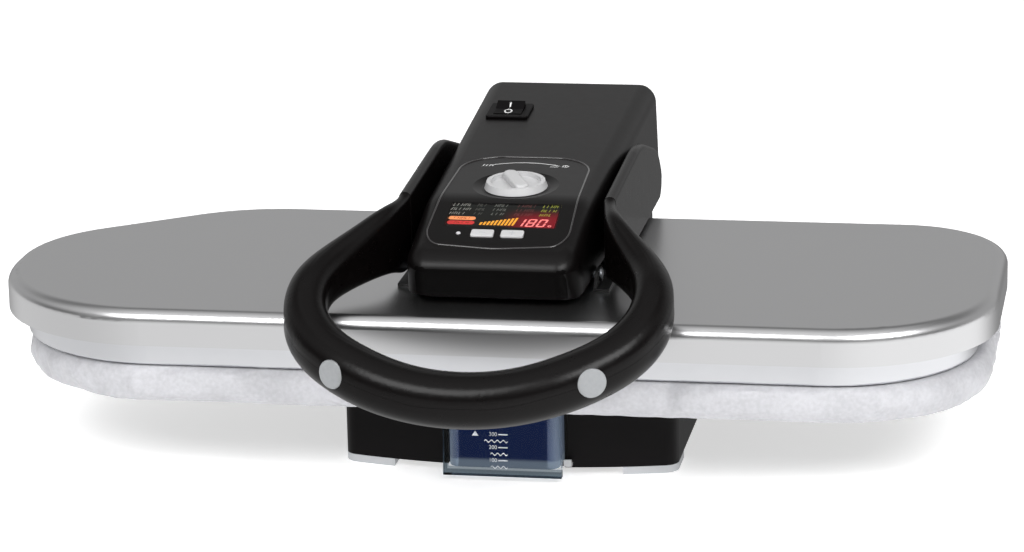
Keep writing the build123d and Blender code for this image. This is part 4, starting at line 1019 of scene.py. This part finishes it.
class PRESS_OT_display(bpy.types.Operator):
    """Finish the display and light its read-out behind the window."""

    bl_idname = "press.display"
    bl_label = "Display"

    def execute(self, context):
        dress(smoked_acrylic(), "display_window")
        dress(panel_abs(), "display_card")
        dress(frosted_epoxy(), "status_lamp")
        low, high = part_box("display_window")
        # Everything lit is measured in millimetres from the window's middle
        middle = (low + high) / 2
        place = plane_at(middle, FRONT_SLOPE, -0.70 * MM)
        width, depth = (high.x - low.x) / MM, (high.y - low.y) / cos(FRONT_SLOPE) / MM - 0.4
        margin = 1.5
        ground = [bar(0, 0, width - margin, depth - margin)]
        raised_shapes("display_back", ground, place, display_glow(), "arm")
        front, top = (
            place @ Matrix.Translation(Vector((-1.2 * MM, 0.8 * MM, lift * MM)))
            for lift in (0.1, 0.2)
        )
        red = lit_segment("lit_red", "#ff8f8c", 1.25)
        orange = lit_segment("lit_orange", "#ffa56a", 1.0)
        lower_red = lit_segment("lit_lower_red", "#d9403f", 0.9)
        amber = lit_segment("lit_amber", "#ffb43c", 1.05)
        bars = []
        for i in range(10):
            tall = 3.4 + 0.71 * i
            bars.append(bar(-12.2 + 2.3 * i, -12.2 + tall / 2, 1.45, tall, tall * 0.2))
        raised_shapes("display_bars", bars, front, amber, "arm")
        digits = []
        for i, digit in enumerate("180"):
            digits += seven_segment(digit, 13.2 + 7.0 * i, -8.3, 5.4, 9.6, 1.2, 2.2)
        digits += ring_sector(32.4, -11.8, 0.7, 1.25, 0, 2 * pi, 16)
        raised_shapes("display_digits", digits, front, red, "arm")
        pill_x, upper_y, lower_y, pill_width = -25.0, -4.2, -9.8, 17.7
        upper = pill(pill_x, upper_y, pill_width, 4.4)
        lower = pill(pill_x, lower_y, pill_width, 4.6)
        raised_shapes("display_pill_upper", [upper], front, orange, "arm")
        raised_shapes("display_pill_lower", [lower], front, lower_red, "arm")
        shade = printed_ink("pill_print", "#b5542c")
        strokes = word_strokes(-31.0, -19.0, upper_y, 2.0, 3)
        strokes += word_strokes(-30.0, -20.0, lower_y, 2.0, 1)
        raised_shapes("display_pill_strokes", strokes, top, shade, "arm")
        # Five columns of three short rows each: name, colour, strength, left and right end
        columns = (
            ("light", "#b9bcb4", 0.42, -34.2, -21.6),
            ("dim", "#6f716c", 0.22, -18.5, -11.6),
            ("grey", "#8e938c", 0.32, -7.2, 2.5),
            ("reddish", "#7d4a48", 0.3, 7.7, 20.6),
            ("green", "#b7c24a", 0.6, 23.9, 33.9),
        )
        row_rises, row_height, last_row_shorter = (12.6, 7.4, 2.0), 2.9, 1.2
        for number, (name, colour, strength, start, end) in enumerate(columns):
            rows = []
            for row, rise in enumerate(row_rises):
                shift = -0.081 * (row_rises[0] - rise)
                shorter = last_row_shorter * (row == len(row_rises) - 1)
                left, right = start + shift, end + shift - shorter
                rows += word_strokes(left, right, rise, row_height, number + row)
            glow = lit_segment(f"lit_{name}", colour, strength)
            raised_shapes(f"display_rows_{name}", rows, front, glow, "arm")
        return {"FINISHED"}


class PRESS_OT_buttons(bpy.types.Operator):
    """Finish the two keys and mark them with a minus and a plus."""

    bl_idname = "press.buttons"
    bl_label = "Keys"

    def execute(self, context):
        dress(white_abs(), "minus_button", "plus_button")
        ink = printed_ink("key_print", "#b9bbbe")
        outward = Vector((0, -sin(FRONT_SLOPE), cos(FRONT_SLOPE)))
        for name, body in (("minus", "minus_key"), ("plus", "plus_key")):
            low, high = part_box(f"{name}_button")
            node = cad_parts[f"{name}_button"]
            reach = max(v.co.dot(outward) for v in node.data.vertices)
            middle = (low + high) / 2
            top = middle + outward * (reach - middle.dot(outward))
            length, stroke = 4.2, 0.8
            marks = [bar(0, 0, length, stroke)]
            if name == "plus":
                marks.append(bar(0, 0, stroke, length))
            raised_shapes(f"{name}_mark", marks, plane_at(top, FRONT_SLOPE), ink, body)
        return {"FINISHED"}


class PRESS_OT_switch(bpy.types.Operator):
    """Finish the power switch and mark its on and off ends."""

    bl_idname = "press.switch"
    bl_label = "Power switch"

    def execute(self, context):
        dress(textured_black_abs(), "switch_bezel", "power_rocker")
        low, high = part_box("power_rocker")
        points = [v.co.copy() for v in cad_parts["power_rocker"].data.vertices]
        length = high.y - low.y

        def crest(start, end):
            """Highest point of the rocker between two shares of its length."""
            first, last = low.y + start * length, low.y + end * length
            return max((co for co in points if first <= co.y <= last), key=lambda co: co.z)

        front, ridge, rear = crest(0.0, 0.1), crest(0.4, 0.6), crest(0.85, 1.0)
        ink = printed_ink("switch_print", "#f2f2f2")
        stroke = [bar(0, 0, 1.0, 5.2)]
        ring = ring_sector(0, 0, 2.0, 2.8, 0, 2 * pi, 24, 1.35)
        for name, shapes, near, far in (("on", stroke, ridge, rear), ("off", ring, front, ridge)):
            middle = (near + far) / 2
            middle.x = (low.x + high.x) / 2
            place = plane_at(middle, atan2(far.z - near.z, far.y - near.y), 0.02 * MM)
            raised_shapes(f"switch_{name}_mark", shapes, place, ink, "rocker")
        return {"FINISHED"}


class PRESS_OT_stage(bpy.types.Operator):
    """Set up the floor, the soft studio light and the camera."""

    bl_idname = "press.stage"
    bl_label = "Stage"

    def execute(self, context):
        stage = context.scene.press_stage
        mesh = bpy.data.meshes.new("floor")
        half = FLOOR_HALF
        corners = [(-half, -half, 0), (half, -half, 0), (half, half, 0), (-half, half, 0)]
        mesh.from_pydata(corners, [], [(0, 1, 2, 3)])
        floor = added("floor", mesh)
        # A light table: the floor also glows, which keeps the shadows soft
        material = start_material(
            "studio_floor",
            stage.floor_colour,
            Roughness=0.9,
            Emission_Color=(1, 1, 1, 1),
            Emission_Strength=stage.floor_glow,
        )[0]
        mesh.materials.append(material)
        # Glossy surfaces mirror the studio walls below, not the glowing floor
        floor.visible_glossy = False
        context.scene.view_settings.view_transform = "Standard"
        self.sky(context)
        for softbox in SOFTBOXES:
            self.softbox(*softbox)
        self.camera(context, stage)
        return {"FINISHED"}

    def sky(self, context):
        """Studio walls by direction: pale low in front, mid grey behind, dark overhead."""
        world = bpy.data.worlds.new("studio")
        context.scene.world = world
        world.use_nodes = True
        tree = world.node_tree
        direction = add_node(tree, "ShaderNodeTexCoord").outputs["Generated"]
        axes = add_node(tree, "ShaderNodeSeparateXYZ", {"Vector": direction})
        shares = {"below_behind": 0.25}
        # Each runs from low to high while one axis of the direction goes from start to end
        for name, axis, start, end, low, high in (
            ("behind", "Y", -0.2, 0.5, 0.0, 1.0),
            ("above_front", "Z", 0.2, 0.55, 0.13, 0.60),
            ("above_behind", "Z", 0.40, 0.74, 0.47, 0.16),
            ("far_behind", "Y", 0.45, 0.97, 0.0, 1.0),
            ("below_front", "X", -0.9, 0.6, 0.85, 1.35),
            ("upward", "Z", -0.05, 0.05, 0.0, 1.0),
        ):
            inputs = {"Value": axes.outputs[axis], "From Min": start, "From Max": end}
            inputs.update({"To Min": low, "To Max": high})
            ramp = add_node(tree, "ShaderNodeMapRange", inputs, interpolation_type="SMOOTHSTEP")
            shares[name] = ramp.outputs["Result"]
        for name, share, first, second in (
            ("above", "behind", "above_front", "above_behind"),
            ("below", "far_behind", "below_front", "below_behind"),
            ("strength", "upward", "below", "above"),
        ):
            inputs = {"Factor": shares[share], "A": shares[first], "B": shares[second]}
            shares[name] = add_node(tree, "ShaderNodeMix", inputs).outputs["Result"]
        background = tree.nodes["Background"]
        background.inputs["Color"].default_value = (1, 1, 1, 1)
        tree.links.new(shares["strength"], background.inputs["Strength"])

    def softbox(self, name, place, aim, width, height, power):
        """Rectangular area light aimed at a point."""
        data = bpy.data.lights.new(name, "AREA")
        data.shape = "RECTANGLE"
        data.size = width
        data.size_y = height
        data.energy = power
        light = added(name, data)
        light.location = place
        towards = Vector(aim) - Vector(place)
        light.rotation_euler = towards.to_track_quat("-Z", "Y").to_euler()

    def camera(self, context, stage):
        """Camera at the angle from which the press is seen."""
        theta, phi, roll = stage.azimuth, stage.elevation, stage.roll
        ahead = Vector((-sin(theta) * cos(phi), cos(theta) * cos(phi), -sin(phi)))
        right = Vector((cos(theta), sin(theta), 0))
        up = right.cross(ahead)
        right, up = cos(roll) * right + sin(roll) * up, cos(roll) * up - sin(roll) * right
        data = bpy.data.cameras.new("camera")
        data.sensor_width = 36
        data.lens = stage.lens
        data.clip_end = 60
        camera = added("camera", data)
        matrix = Matrix((right, up, -ahead)).transposed().to_4x4()
        matrix.translation = Vector(stage.target) - ahead * stage.distance
        camera.matrix_world = matrix
        context.scene.camera = camera


OPERATORS = (
    PRESS_OT_plate,
    PRESS_OT_board,
    PRESS_OT_base,
    PRESS_OT_tank,
    PRESS_OT_arm,
    PRESS_OT_handle,
    PRESS_OT_panel,
    PRESS_OT_display,
    PRESS_OT_buttons,
    PRESS_OT_switch,
    PRESS_OT_stage,
)


class PRESS_PT_sidebar(bpy.types.Panel):
    """Lists the operators that dress the press."""

    bl_idname = "PRESS_PT_sidebar"
    bl_label = "Steam ironing press"
    bl_space_type = "VIEW_3D"
    bl_region_type = "UI"
    bl_category = "Press"

    def draw(self, context):
        for group in (context.scene.press_board, context.scene.press_stage):
            for name in group.__annotations__:
                self.layout.prop(group, name)
        for operator in OPERATORS:
            self.layout.operator(operator.bl_idname)


CLASSES = (PressBoardProperties, PressStageProperties, *OPERATORS, PRESS_PT_sidebar)


def register():
    for cls in CLASSES:
        bpy.utils.register_class(cls)
    bpy.types.Scene.press_board = bpy.props.PointerProperty(type=PressBoardProperties)
    bpy.types.Scene.press_stage = bpy.props.PointerProperty(type=PressStageProperties)


def unregister():
    del bpy.types.Scene.press_stage
    del bpy.types.Scene.press_board
    for cls in reversed(CLASSES):
        bpy.utils.unregister_class(cls)


def main():
    register()
    for operator in OPERATORS:
        group, name = operator.bl_idname.split(".")
        getattr(getattr(bpy.ops, group), name)()


if __name__ == "__main__":
    main()
